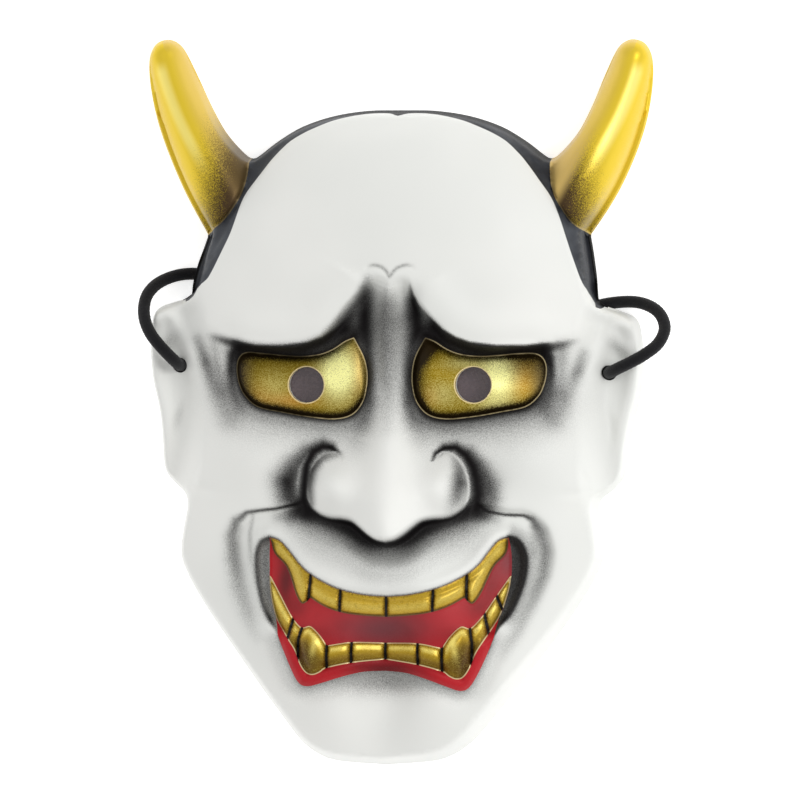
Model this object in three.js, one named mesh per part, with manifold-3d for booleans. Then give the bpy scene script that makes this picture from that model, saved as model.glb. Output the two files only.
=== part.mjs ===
// Hannya mask moulded as one thin shell, lying on its rim with the face up.
// Millimetres. X runs across the face, Y from chin to horns, Z out of the face, rim at Z = 0.
import * as THREE from "three";
import { mergeVertices } from "three/addons/utils/BufferGeometryUtils.js";
import Module from "manifold-3d";

// Driving dimensions
const maskWidth = 187.9;
const maskHeight = 269.8;
const maskDepth = 70.8;
const wallThickness = 2.0;
const wallRise = 26;
const wallRun = 2.2;
const wallDraft = 7;
const flangeReach = 1.7;
const flangeHeight = 2.2;
const cordRadius = 2.3;
const cordRoom = 0.5;
const archRoom = 2.0;
const archReach = 8.5;
const pupilRadius = 6.6;
const lensLap = 3.0;
const lensThickness = 1.0;
const seatRoom = 1.0;
const fitGap = 0.3;
const floorGap = 0.2;
const knotLap = 1.2;
const knotHeight = 6.0;
const mouthLean = 0.03;
const earLean = 0.018;

// The curves and the carving are drawn for a mask 187.9 wide, 269.8 tall and 70.8 deep
const wide = maskWidth / 187.9;
const tall = maskHeight / 269.8;
const deep = maskDepth / 70.8;
const placed = (line) => line.map(([x, y]) => [x * wide, y * tall]);

// What follows from them
const pupilX = 30.95 * wide;
const pupilY = 6.4 * tall;
const lensRadius = pupilRadius + lensLap;
const seatRadius = lensRadius + seatRoom;
const cordHoleX = 79.85 * wide;
const cordHoleY = 12.3 * tall;
const cordHoleRadius = cordRadius + cordRoom;
const knotRadius = cordHoleRadius + knotLap;
const archHeight = 2 * cordRadius + archRoom;

// Smooth curve through control points, as a polyline
function spline(points, steps = 4) {
  const first = [2 * points[0][0] - points[1][0], 2 * points[0][1] - points[1][1]];
  const n = points.length;
  const last = [2 * points[n - 1][0] - points[n - 2][0], 2 * points[n - 1][1] - points[n - 2][1]];
  const all = [first, ...points, last];
  const out = [];
  for (let i = 1; i < all.length - 2; i++) {
    const [a, b, c, d] = [all[i - 1], all[i], all[i + 1], all[i + 2]];
    for (let k = 0; k < steps; k++) {
      const t = k / steps;
      const at = (j) =>
        0.5 * (2 * b[j] + (c[j] - a[j]) * t + (2 * a[j] - 5 * b[j] + 4 * c[j] - d[j]) * t * t +
          (3 * b[j] - a[j] - 3 * c[j] + d[j]) * t ** 3);
      out.push([at(0), at(1)]);
    }
  }
  out.push(points[n - 1]);
  return out;
}

function join(...runs) {
  const out = [...runs[0]];
  for (const run of runs.slice(1)) {
    const end = out[out.length - 1];
    const same = Math.hypot(run[0][0] - end[0], run[0][1] - end[1]) < 1e-6;
    out.push(...(same ? run.slice(1) : run));
  }
  return out;
}

// Nearest place on a polyline: its distance, the fraction of the way along, and the side
function along(x, y, line) {
  let best = 1e18;
  let at = 0;
  let side = 1;
  let start = 0;
  for (let i = 0; i + 1 < line.length; i++) {
    const [px, py] = line[i];
    const ux = line[i + 1][0] - px;
    const uy = line[i + 1][1] - py;
    const squared = ux * ux + uy * uy;
    const t = Math.min(1, Math.max(0, ((x - px) * ux + (y - py) * uy) / squared));
    const ex = x - px - t * ux;
    const ey = y - py - t * uy;
    const q = ex * ex + ey * ey;
    const length = Math.sqrt(squared);
    if (q < best) {
      best = q;
      at = start + t * length;
      side = Math.sign(ux * (y - py) - uy * (x - px));
    }
    start += length;
  }
  return { distance: Math.sqrt(best), fraction: at / start, side };
}

function inside(x, y, ring) {
  let odd = false;
  for (let i = 0; i < ring.length; i++) {
    const [px, py] = ring[i];
    const [qx, qy] = ring[(i + 1) % ring.length];
    if (py > y !== qy > y && x < px + ((y - py) * (qx - px)) / (qy - py)) odd = !odd;
  }
  return odd;
}

// Distance to a line, positive inside the ring that the line and its closing points make
function signed(x, y, line, closing = []) {
  const far = along(x, y, line).distance;
  return inside(x, y, [...line, ...closing]) ? far : -far;
}

// Smooth curve through a rising table of [position, value]
function curveAt(v, table) {
  const slope = (i) => {
    const a = table[Math.max(0, i - 1)];
    const b = table[i];
    const c = table[Math.min(table.length - 1, i + 1)];
    if (a === b || c === b) return (c[1] - a[1]) / (c[0] - a[0]);
    const left = b[0] - a[0];
    const right = c[0] - b[0];
    return (left * left * c[1] + (right * right - left * left) * b[1] - right * right * a[1]) /
      (left * right * (left + right));
  };
  let i = 0;
  while (i < table.length - 2 && v > table[i + 1][0]) i++;
  const h = table[i + 1][0] - table[i][0];
  const s = Math.min(1, Math.max(0, (v - table[i][0]) / h));
  return (1 + 2 * s) * (1 - s) ** 2 * table[i][1] + s * (1 - s) ** 2 * h * slope(i) +
    s * s * (3 - 2 * s) * table[i + 1][1] - s * s * (1 - s) * h * slope(i + 1);
}

function step(a, b, v) {
  const t = Math.min(1, Math.max(0, (v - a) / (b - a)));
  return t * t * (3 - 2 * t);
}

const bump = (v, width) => Math.exp(-((v / width) ** 2));

function hill(x, y, cx, cy, rx, ry, turn = 0) {
  const u = (x - cx) * Math.cos(turn) + (y - cy) * Math.sin(turn);
  const v = (y - cy) * Math.cos(turn) - (x - cx) * Math.sin(turn);
  return Math.exp(-((u / rx) ** 2) - (v / ry) ** 2);
}

function lower(a, b, k) {
  const h = Math.min(1, Math.max(0, 0.5 + (0.5 * (b - a)) / k));
  return b * (1 - h) + a * h - k * h * (1 - h);
}

const upper = (a, b, k) => -lower(-a, -b, k);

// Outline of the right half, from the crown round the horn and the ear to the chin
const crownAndHorn = spline([
  [0, 108.6], [12.4, 108.4], [25.1, 106.5], [36.9, 102.6], [46.1, 97.2], [52.9, 92], [55.8, 90.7], [59.4, 93.1],
  [65.7, 100.5], [71, 110.4], [75.3, 120.2], [79.9, 129.9], [82.9, 133.6], [86.9, 135], [91.4, 133.1],
  [93.8, 127.4], [93.6, 117.7], [91.4, 105.4], [87.8, 94.1], [82.6, 81.8], [77.5, 72.2], [71.3, 62.2],
]);
const temple = spline([[71.3, 62.2], [73.1, 55.1], [75.2, 44.4], [75.9, 39]], 3);
const earAndJaw = spline([
  [75.9, 39], [79, 37], [83.8, 35.5], [89.1, 33.1], [91.2, 28.3], [92, 18], [91.2, 6.8], [88.6, -4.6],
  [87.1, -14.4], [85.7, -25.8], [82.1, -31], [77.8, -34.8], [76.8, -39], [77.7, -44.9], [78.9, -55.4],
  [77, -62.4], [72.3, -71.3], [64.2, -83.7], [53.4, -98.6], [40.8, -115.3], [32.3, -125.7], [25.1, -131],
  [17.1, -133.5], [0, -134.8],
]);
const outline = placed(join(crownAndHorn, temple, earAndJaw));

// Edges of the forehead plate and of the horn's foot, and the middle of the horn
const forehead = spline([
  [0, 106.2], [1.2, 106.5], [2.6, 107], [5, 107.3], [10, 107.2], [15, 106.6], [20, 105.6], [25, 104.2],
  [30, 102.2], [35, 99.9], [40, 96.9], [47.5, 89.3], [52.8, 82.2], [57.2, 76], [60.5, 69], [63.1, 62.6],
  [66.3, 54.8], [70, 46.3], [74, 39.4], [76.5, 35],
]);
const hornFoot = spline([[55.8, 93], [56.2, 85], [57.2, 79.5], [59.6, 74], [64.6, 67], [71.3, 62.2]]);
const hornAxis = spline([[61.5, 73], [66.5, 82], [73.5, 95], [79.6, 107], [84.3, 119], [86.9, 128.5]]);

// Eye, brow, nose, folds and mouth of the right half
const eye = spline([
  [13.2, 23.9], [9.6, 17], [8.3, 11], [8.5, 5.5], [10.1, -0.2], [14.1, -4.7], [20.7, -6.3], [31, -5.4],
  [40.7, -3.7], [49.6, -1.8], [54.3, 2], [56.6, 6.4], [57.6, 11.8], [56.8, 16], [54, 18.2], [47.7, 18.1],
  [40, 17.4], [33.3, 17], [26.4, 17.7], [21.2, 19.6], [16.7, 22.5], [13.2, 23.9],
]);
const brow = spline([
  [6.8, 49], [8.5, 44.5], [12, 40], [16, 36.2], [20.5, 29.5], [25.4, 24.5], [35.5, 20.6], [46, 20.8],
  [56.5, 22.2], [64, 25], [71, 30],
]);
const nose = spline([
  [17.1, -22.1], [18, -19.4], [20.6, -18.1], [24, -19.3], [27.1, -22.3], [29.4, -27], [30.2, -32],
  [29.8, -36], [28.1, -39.6], [25.1, -42.1], [21.3, -43.4], [16.8, -43.8], [13.2, -44.6], [10.4, -46.6],
  [7, -49.4], [3.6, -51.4], [0, -52.2],
]);
const fold = spline([
  [31, -37.6], [37.4, -39], [44.4, -40.5], [51.2, -41.4], [57.4, -46.8], [59.4, -56.5], [57.5, -66.9],
  [52.5, -77.9], [46.6, -88.2],
]);
const upperLip = spline([
  [0, -71.9], [8.3, -71.2], [16.8, -69.4], [23.2, -66.9], [29.1, -63.6], [33.3, -60], [37.4, -54.8],
  [40.8, -51.2], [44.3, -50.1],
]);
const mouthSide = spline([
  [44.3, -50.1], [47.6, -51.8], [49.4, -55.5], [49.8, -60.5], [48.5, -68.5], [45.7, -76.6], [41.7, -83.8],
  [40.1, -86.6],
]);
const lowerLip = spline([
  [0, -99.4], [8.1, -100], [16, -102.1], [23.3, -104.6], [28.5, -106], [31.8, -104.6], [34.9, -99.2],
  [38.1, -91.8], [40.1, -86.6],
]);
const upperBite = join(
  spline([[0, -79.4], [9.3, -78.8], [17, -77.6], [23.3, -75.4], [28.6, -72.3]]),
  spline([
    [28.6, -72.3], [30, -73.9], [31.9, -74.4], [34.3, -70.9], [36.6, -65], [38.9, -60.3], [43, -55.9],
    [44.3, -50.1],
  ]),
);
const lowerBite = join(
  spline([[0, -89], [12.2, -88.9], [21.3, -90.4]]),
  spline([
    [21.3, -90.4], [24.2, -86.2], [27.9, -82.9], [30.9, -83.5], [33.2, -81.8], [36.2, -77.8], [40, -71.5],
    [44.9, -63.6],
  ]),
);
const lowerRoot = spline([
  [44.9, -63.6], [44.2, -70], [41.6, -79.2], [37.4, -86.4], [33.6, -92.4], [31.6, -97.6], [29.2, -101],
  [26.5, -101.7], [23.8, -100.6], [21.3, -99], [12.2, -96.8], [0, -95.2],
]);
const mouth = join(upperLip, mouthSide, [...lowerLip].reverse());
const upperTeeth = join(upperLip, [...upperBite].reverse());
const lowerTeeth = join(lowerBite, lowerRoot);
const earRidge = spline([[88, 29.5], [82.5, 30], [77.5, 21], [73.5, 11], [70.5, 2]]);

// Gaps between the teeth: side (0 both, 1 right, -1 left) and line
const toothGaps = [
  [0, [[0, -71.9], [0, -79.4]]], [0, [[17.1, -69.2], [17.2, -77.8]]], [0, [[28.9, -63.6], [29.2, -72]]],
  [0, [[0, -89], [0, -95.2]]], [0, [[12.2, -88.9], [12.4, -96.8]]], [0, [[21.3, -90.4], [21.4, -99]]],
  [0, [[30.9, -83.5], [32.2, -88.5], [32.3, -94.8]]], [-1, [[34.6, -79.8], [36.3, -87.5]]],
  [1, [[36, -78.2], [38, -85.4]]], [1, [[40, -71.7], [42.4, -76.8]]],
];

// Height of the centre line and half width of the plain dome, from chin to crown
const profile = [
  [-146, 20], [-133.8, 34], [-122, 43], [-108, 48], [-90, 49.5], [-70, 48.5], [-50, 46], [-30, 44],
  [-10, 43], [10, 43.5], [30, 45], [50, 46], [70, 43.5], [88, 37], [100, 29.5], [108, 22], [120, 8],
];
const halfWidth = [
  [-146, 38], [-133.8, 48], [-122, 56], [-108, 63], [-90, 72], [-70, 83], [-50, 92], [-30, 94], [-10, 93],
  [10, 92], [30, 90], [50, 85], [70, 77], [88, 65], [100, 56], [108, 48], [120, 36],
];
const noseRise = [
  [-160, 0], [-68, 0], [-60, 9], [-53, 18.5], [-49, 21.6], [-44, 22.8], [-38, 21.4], [-25, 14], [-10, 7],
  [4, 2.5], [16, 0], [30, 0],
];
const noseWidth = [[-60, 14], [-48, 13.5], [-38, 13], [-25, 11.5], [-10, 9.5], [4, 8], [16, 7], [30, 7]];
const hornRise = [[0, 27], [0.25, 26], [0.5, 22.5], [0.75, 17], [1, 11]];
const hornWidth = [[0, 15.5], [0.25, 14.2], [0.5, 11.6], [0.75, 9], [1, 7]];

// The moulding isn't quite even: how far its middle and its edge stand to one side, from chin to horns
const middleShift = [
  [-146, -4.2], [-130, -3.9], [-118, -2.7], [-104, -1.5], [-92, -1.3], [-75, -0.4], [-60, 0.3], [-48, -0.3],
  [-10, 0], [40, 0], [50, 0.4], [62, 1.2], [100, 1.8], [146, 1.6],
];
const edgeShift = [
  [-146, -4.2], [-130, -3.9], [-118, -3.2], [-107, -2.9], [-90, -2.1], [-75, -1.85], [-45, -1.65], [-20, -0.7],
  [-5, 0], [52, 0], [66, 1.1], [146, 1.1],
];
function uneven(x, y) {
  const [u, v] = [x / wide, y / tall];
  const near = 1 - step(0, 22, signed(Math.abs(x), y, outline));
  const across = curveAt(v, middleShift) * (1 - near) + curveAt(v, edgeShift) * near;
  const up = -earLean * u * step(45, 70, Math.abs(u)) * step(52, 38, v) * step(-44, -30, v);
  return [x + across * wide, y + up * tall];
}

// The rim is lifted where the cord passes under it
const archPlaces = placed([[-75.4, 46.6], [78, 37.2]]);
const rimHeight = (x, y) =>
  Math.max(...archPlaces.map(([ax, ay]) => archHeight * Math.exp(-((Math.hypot(x - ax, y - ay) / archReach) ** 4))));

function flangeWidth(x, y) {
  const [u, v] = [x / wide, y / tall];
  return flangeReach * step(60, 70, u) * step(36, 44, v) * step(-0.12, 0.1, (u - 75) * 0.6 - (v - 75) * 0.42 + 4);
}

function earForm(ax, y, d, plain) {
  const k = step(66, 79, ax - 0.1 * Math.abs(y - 8)) * step(41, 31, y) * step(-44, -28, y);
  const plate = 16.5 - 0.1 * (ax - 80) - 2.5 * step(-5, -34, y);
  const ridge = along(ax, y, earRidge);
  let z = plain * (1 - k) + plate * k;
  z += 2.6 * bump(ridge.distance, 3.2) * (1 - step(0.7, 1, ridge.fraction));
  z -= 2.6 * hill(ax, y, 83, 18.5, 6.5, 3, -0.75) + 1.8 * hill(ax, y, 81, 8, 5, 8);
  z += 1.4 * bump(d - 3.4, 2.4) * k * step(-24, -10, y);
  z -= 0.9 * hill(ax, y, 80.3, -6.8, 1.6, 5.5, 0.2) + 0.8 * hill(ax, y, 72, -27, 1.6, 5, 0.3);
  z -= 1.0 * hill(ax, y, 73, -32.5, 7.5, 1.8, 0.1);
  return z;
}

function noseForm(ax, y) {
  const near = along(ax, y, nose);
  const n = signed(ax, y, nose, [[0, 20], [34, 20], [24, -14]]);
  const shut = (1 - step(-2, 2.4, n)) * Math.exp(-((near.distance / 9) ** 4)) * step(0, 0.12, near.fraction);
  const ridge = curveAt(y, noseRise) * bump(ax, curveAt(y, noseWidth));
  const wing = 11.5 * hill(ax, y, 20, -31.5, 9, 9.5);
  const crease = step(0, 0.06, near.fraction) * (1 - step(0.5, 0.7, near.fraction)) * (n < 0.8 ? 1 : 0.4);
  return (ridge + wing) * (1 - shut) - 1.2 * bump(near.distance, 1.5) * crease - 2.2 * hill(ax, y, 37, -29, 7, 7);
}

// The lower lip and its teeth hang a little lower on the right than on the left
const leanAt = (x, y) => mouthLean * x * step(-80, -96, y) * step(-118, -106, y) * step(52, 40, Math.abs(x));

function mouthForm(x, ax, level) {
  const y = level + leanAt(x, level);
  const m = signed(ax, y, mouth);
  const lip = signed(ax, y, lowerLip, [[44, -80], [30, -60], [0, -60]]);
  const low = step(-84, -90, y);
  const up = signed(ax, y, upperTeeth);
  const down = signed(ax, y, lowerTeeth);
  let gap = 50;
  for (const [side, line] of toothGaps)
    if (!side || Math.sign(x) === side) gap = Math.min(gap, along(ax, y, line).distance);
  let z = -(1 - low) * 3.0 * step(-0.4, 2.6, m) - low * 2.4 * step(3.2, 6, m);
  z += (1 - low) * 1.3 * bump(m + 2.4, 2.2) + low * (1.2 * bump(lip - 1.8, 2) - 2.2 * bump(lip + 3.4, 3));
  for (const t of [up, down]) z += 1.9 * step(-0.3, 1.3, t) + 1.3 * step(0.8, 3.8, t);
  z += 1.2 * hill(ax, y, 27.3, -91.5, 3.6, 6.5);
  return z - step(-0.3, 0.8, Math.max(up, down)) * (1.2 * bump(gap, 0.7) + 0.6 * bump(gap, 2));
}

// Height of the carving over the drawing, d inside the outline
function carving(x, y, d) {
  const ax = Math.abs(x);
  const across = ax / curveAt(y, halfWidth);
  let z = curveAt(y, profile) * Math.sqrt(Math.max(1 - across * across, 0.004));
  z += 13 * hill(ax, y, 0, -80, 36, 27) + 5 * hill(ax, y, 52, -20, 17, 13) + 3 * hill(ax, y, 0, -120, 26, 12);
  z -= 3.2 * hill(ax, y, 30, -4, 34, 22);
  const b = along(ax, y, brow);
  const above = b.distance * b.side;
  const browFade = step(0, 0.1, b.fraction) * (1 - step(0.75, 1, b.fraction));
  z -= browFade * 6 * (1 - step(-3.6, 0.8, above)) * Math.exp(-((Math.max(-above - 3, 0) / 9) ** 2));
  z += browFade * 1.6 * bump(above - 6, 7);
  z += step(2, 12, y) * (1 - step(38, 47, y)) * (3.6 * bump(ax, 3.4) - 2.2 * bump(ax - 8.2, 3.4));
  const e = signed(ax, y, eye);
  z += step(0, 1.5, e) * (3.4 * hill(ax, y, 31, 6.5, 27, 12) - 0.6) - 1.2 * bump(e, 1.2) + 1.0 * bump(e + 2.6, 1.8);
  z -= 1.6 * hill(ax, y, 60.2, 13, 2.6, 9) + 3.0 * hill(ax, y, 70, 15.5, 3.6, 10, -0.42);
  z += noseForm(ax, y);
  const f = along(ax, y, fold);
  const cheek = f.distance * f.side;
  const foldFade = step(0, 0.05, f.fraction) * (1 - step(0.7, 1, f.fraction));
  const soft = 1.1 + 3 * f.fraction;
  z -= foldFade * (2.8 * (1 - step(-soft, soft, cheek)) * Math.exp(-((f.distance / 8) ** 2)) + 0.6 * bump(cheek, soft));
  z += mouthForm(x, ax, y);
  const strip = signed(ax, y, forehead, [[95, 35], [95, 140], [0, 140]]);
  z -= 2.2 * step(-0.3, 1.2, strip);
  z = earForm(ax, y, d, z);
  const h = signed(ax, y, hornFoot, [[110, 62], [110, 140], [56, 140]]);
  const q = along(ax, y, hornAxis);
  const round = q.distance / curveAt(q.fraction, hornWidth);
  const horn = curveAt(q.fraction, hornRise) * Math.sqrt(Math.max(1 - round * round, 0.01));
  const k = step(-0.7, 0.9, h);
  return z * (1 - k) + horn * k - 0.8 * bump(h, 1.0);
}

// Height of the outer surface over a point of the floor
function form(x, y) {
  const ax = Math.abs(x);
  const d = signed(ax, y, outline);
  const foot = rimHeight(x, y);
  if (d < 0) return foot + 3 * d;
  const flange = flangeWidth(ax, y);
  const dw = d - flange;
  const wall = dw > 0 ? wallRise * (1 - Math.exp(-dw / wallRun)) + wallDraft * Math.max(dw - 1, 0) : 3 * dw;
  let z = lower(deep * carving(x / wide, y / tall, d), wall, 7);
  if (flange > 0.05) z = upper(z, (flangeHeight * step(0, 0.5, d) * flange) / flangeReach, 0.5);
  z = Math.max(z, Math.min(3 * d, 0.6));
  return foot > 0.02 ? Math.max(z, foot + Math.min(3 * d, 0.6)) : z;
}

// Height of the inner surface: the outer one moved in by the wall thickness
const offsets = [[0, 0]];
for (const [r, n] of [[0.55, 6], [0.85, 8], [1, 10]])
  for (let i = 0; i < n; i++) {
    const a = (2 * Math.PI * (i + r)) / n;
    offsets.push([r * wallThickness * Math.cos(a), r * wallThickness * Math.sin(a)]);
  }
function inner(x, y) {
  let z = 1e9;
  for (const [u, v] of offsets)
    z = Math.min(z, form(x + u, y + v) - Math.sqrt(Math.max(0, wallThickness ** 2 - u * u - v * v)));
  return z;
}

// Points spread along a line
function spread(line, gap) {
  const out = [line[0]];
  let left = gap;
  for (let i = 0; i + 1 < line.length; i++) {
    const [a, b] = [line[i], line[i + 1]];
    const length = Math.hypot(b[0] - a[0], b[1] - a[1]);
    let at = left;
    while (at < length) {
      out.push([a[0] + ((b[0] - a[0]) * at) / length, a[1] + ((b[1] - a[1]) * at) / length]);
      at += gap;
    }
    left = at - length;
  }
  return out;
}

const mirror = (line) => line.map(([x, y]) => [-x, y]);

// Points along the right half of the outline, each with the direction that leads inwards
function rimPoints(gap) {
  const fine = spread(outline, 0.25);
  const chin = outline[outline.length - 1];
  const out = [];
  const count = Math.round((fine.length * 0.25) / gap);
  for (let k = 0; k <= count; k++) {
    const i = Math.min(fine.length - 1, Math.round((k * (fine.length - 1)) / count));
    const a = fine[Math.max(0, i - 5)];
    const b = fine[Math.min(fine.length - 1, i + 5)];
    const length = Math.hypot(b[0] - a[0], b[1] - a[1]);
    const at = k === 0 ? [0, outline[0][1]] : k === count ? [0, chin[1]] : fine[i];
    const way = k === 0 ? [0, -1] : k === count ? [0, 1] : [(b[1] - a[1]) / length, -(b[0] - a[0]) / length];
    out.push({ at, way });
  }
  return out;
}

// Ring of points at a distance inside the outline, one for each rim point that has room for it
function ringAt(base, reach, room) {
  const out = [];
  base.forEach(({ at, way }, k) => {
    const r = reach(at[0] || 0.01, at[1]);
    const p = [at[0] + way[0] * r, at[1] + way[1] * r];
    const middle = k === 0 || k === base.length - 1;
    if (!middle && (p[0] < 0.6 * room || signed(p[0], p[1], outline) < 0.97 * r)) return;
    if (out.some((q) => Math.hypot(p[0] - q[0], p[1] - q[1]) < room)) return;
    out.push(p);
  });
  return out;
}

const closeRing = (half) => [...half, ...mirror(half).reverse().slice(1, -1)];

// Delaunay triangulation of a set of points
function triangulate(points) {
  const pts = points.map(([x, y], i) => [x + 1e-5 * Math.sin(i * 12.9898), y + 1e-5 * Math.sin(i * 78.233)]);
  const n = pts.length;
  pts.push([-3000, -3000], [3000, -3000], [0, 3000]);
  const circle = (a, b, c) => {
    const [ax, ay] = pts[a];
    const [bx, by] = [pts[b][0] - ax, pts[b][1] - ay];
    const [cx, cy] = [pts[c][0] - ax, pts[c][1] - ay];
    const det = 2 * (bx * cy - by * cx);
    const ux = (cy * (bx * bx + by * by) - by * (cx * cx + cy * cy)) / det;
    const uy = (bx * (cx * cx + cy * cy) - cx * (bx * bx + by * by)) / det;
    return { a, b, c, x: ax + ux, y: ay + uy, r: ux * ux + uy * uy };
  };
  const order = [...Array(n).keys()].sort((i, j) => pts[i][0] - pts[j][0]);
  let open = [circle(n, n + 1, n + 2)];
  const done = [];
  for (const i of order) {
    const edges = new Map();
    const keep = [];
    for (const t of open) {
      const dx = pts[i][0] - t.x;
      if (dx > 0 && dx * dx > t.r) {
        done.push(t);
        continue;
      }
      if (dx * dx + (pts[i][1] - t.y) ** 2 > t.r) {
        keep.push(t);
        continue;
      }
      for (const [u, v] of [[t.a, t.b], [t.b, t.c], [t.c, t.a]]) {
        const key = u < v ? u * 1e5 + v : v * 1e5 + u;
        if (edges.has(key)) edges.set(key, null);
        else edges.set(key, [u, v]);
      }
    }
    for (const e of edges.values()) if (e) keep.push(circle(e[0], e[1], i));
    open = keep;
  }
  return [...done, ...open]
    .filter((t) => t.a < n && t.b < n && t.c < n)
    .map(({ a, b, c }) => {
      const turn = (pts[b][0] - pts[a][0]) * (pts[c][1] - pts[a][1]) - (pts[b][1] - pts[a][1]) * (pts[c][0] - pts[a][0]);
      return turn > 0 ? [a, b, c] : [a, c, b];
    });
}

// Triangles inside a closed ring, whose own edges all stay edges of the mesh.
// The ring gains a point wherever one of its edges would be crossed.
function fillRing(ring, others) {
  let loop = [...ring];
  for (let round = 0; round < 12; round++) {
    const points = [...loop, ...others];
    const triangles = triangulate(points).filter(([a, b, c]) =>
      inside((points[a][0] + points[b][0] + points[c][0]) / 3, (points[a][1] + points[b][1] + points[c][1]) / 3, loop),
    );
    const have = new Set();
    for (const [a, b, c] of triangles)
      for (const [u, v] of [[a, b], [b, c], [c, a]]) have.add(Math.min(u, v) + " " + Math.max(u, v));
    const next = [];
    loop.forEach((p, i) => {
      next.push(p);
      const j = (i + 1) % loop.length;
      const q = loop[j];
      if (!have.has(Math.min(i, j) + " " + Math.max(i, j))) next.push([(p[0] + q[0]) / 2, (p[1] + q[1]) / 2]);
    });
    if (next.length === loop.length) return { loop, points, triangles };
    loop = next;
  }
  throw new Error("the ring could not be kept");
}

// Points filling an area, spaced by a function of the place, clear of the points already there
function scatter(taken, spacing, allowed, finest) {
  const cell = 8;
  const grid = new Map();
  const put = (p) => {
    const key = Math.floor(p[0] / cell) + " " + Math.floor(p[1] / cell);
    if (!grid.has(key)) grid.set(key, []);
    grid.get(key).push(p);
  };
  taken.forEach(put);
  const out = [];
  const [right, top] = [maskWidth / 2 + 2, maskHeight / 2 + 2];
  for (let row = 0, y = -top; y < top; row++, y += finest * 0.866)
    for (let x = row % 2 ? finest / 2 : 0; x < right; x += finest) {
      const want = spacing(x, y);
      if (!allowed(x, y)) continue;
      const [gx, gy] = [Math.floor(x / cell), Math.floor(y / cell)];
      let clear = x > 0.45 * want || x === 0;
      for (let i = gx - 1; clear && i <= gx + 1; i++)
        for (let j = gy - 1; clear && j <= gy + 1; j++)
          for (const p of grid.get(i + " " + j) || [])
            if (Math.hypot(p[0] - x, p[1] - y) < want * 0.93) clear = false;
      if (!clear) continue;
      put([x, y]);
      out.push([x, y]);
    }
  return out;
}

const bothSides = (points) => [...points, ...points.filter((p) => p[0] > 0.01).map(([x, y]) => [-x, y])];
const shifted = (line, by) =>
  line.map((p, i) => {
    const a = line[Math.max(0, i - 1)];
    const b = line[Math.min(line.length - 1, i + 1)];
    const length = Math.hypot(b[0] - a[0], b[1] - a[1]);
    return [p[0] - ((b[1] - a[1]) / length) * by, p[1] + ((b[0] - a[0]) / length) * by];
  });

// Points of the outer surface, right half: rings near the outline, then lines of the carving
function outerPoints() {
  const base = rimPoints(4.3);
  const rim = base.map(({ at }) => at);
  const points = [];
  const add = (list, room) => {
    for (const p of list) {
      if (p[0] < 0.5 && p[0] !== 0) continue;
      if (signed(p[0], p[1], outline) < 0.35) continue;
      if (points.every((q) => Math.hypot(p[0] - q[0], p[1] - q[1]) > room)) points.push(p);
    }
  };
  for (const [reach, room] of [[0.5, 0.4], [1.5, 0.8], [3.4, 1.2], [6, 1.8]])
    add(ringAt(base, (x, y) => reach + flangeWidth(x, y), room), room);
  const features = [
    [eye, [-1.2, 0.6], 3.2], [brow, [-3.4, 0.6], 4], [nose, [-1.4, 1.6], 2.6], [fold, [-1.2, 1.2], 4.4],
    [upperLip, [0.6, -1.2], 4], [mouthSide, [-1, 1.8], 4], [lowerLip, [-0.6, 1.6], 4],
    [upperBite, [-0.4, 1.2], 3.2], [lowerBite, [-0.3, -1.4], 3.2], [lowerRoot, [0.3, -1.2], 3.2],
    [forehead.slice(4, -4), [-0.6, 1.1], 5], [hornFoot, [-0.7, 1], 4.5], [hornAxis, [0], 6],
    [earRidge, [0, 3], 4.5],
  ];
  for (const [line, sides, gap] of features)
    for (const by of sides) add(spread(placed(shifted(line, by)), gap), 1.15);
  const extra = scatter([...rim, ...points], spacing, (x, y) => signed(x, y, outline) > 1.2, 1.3);
  const leant = bothSides([...points, ...extra]).map(([x, y]) => [x, y - tall * leanAt(x / wide, y / tall)]);
  return { rim: closeRing(rim), points: leant };
}

function spacing(x, y) {
  const [u, v] = [x / wide, y / tall];
  const detail = Math.max(
    hill(u, v, 30, 8, 30, 18), hill(u, v, 18, -34, 20, 22), hill(u, v, 22, -80, 26, 26), hill(u, v, 82, 15, 10, 16),
    hill(u, v, 5, 38, 12, 16),
  );
  return 7 - 4.1 * Math.min(1, 1.5 * detail);
}

const group = new THREE.Group();
const wasm = await Module();
wasm.setup();

function solid(positions, triangles) {
  return new wasm.Manifold(
    new wasm.Mesh({ numProp: 3, vertProperties: new Float32Array(positions), triVerts: new Uint32Array(triangles) }),
  );
}

function solidFrom(geometry) {
  const bare = geometry.clone();
  bare.deleteAttribute("normal");
  bare.deleteAttribute("uv");
  const merged = mergeVertices(bare, 1e-4);
  return solid(merged.attributes.position.array, merged.index.array);
}

function addMesh(name, made, colour, roughness, metalness = 0) {
  const mesh = made.getMesh();
  const geometry = new THREE.BufferGeometry();
  geometry.setAttribute("position", new THREE.BufferAttribute(mesh.vertProperties, 3));
  geometry.setIndex(new THREE.BufferAttribute(mesh.triVerts, 1));
  geometry.computeVertexNormals();
  const material = new THREE.MeshStandardMaterial({ color: colour, roughness, metalness });
  const node = new THREE.Mesh(geometry, material);
  node.name = name;
  group.add(node);
}

// Upright cylinder between two heights
function pin(x, y, radius, from, to, sides = 32) {
  const geometry = new THREE.CylinderGeometry(radius, radius, to - from, sides);
  geometry.rotateX(Math.PI / 2);
  geometry.translate(x, y, (from + to) / 2);
  return solidFrom(geometry);
}

// Height of the flat seat behind each pupil: the lowest place of the inner surface there
const turns = [...Array(24).keys()].map((i) => (i * Math.PI) / 12);
const seat = Math.min(
  ...[0.2, 0.6, 1].flatMap((r) =>
    turns.map((a) => inner(pupilX + r * seatRadius * Math.cos(a), pupilY + r * seatRadius * Math.sin(a))),
  ),
);
function innerHeight(x, y) {
  const away = Math.hypot(Math.abs(x) - pupilX, y - pupilY);
  const z = inner(x, y);
  return z + (seat - z) * (1 - step(seatRadius, seatRadius + 3, away));
}

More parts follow.
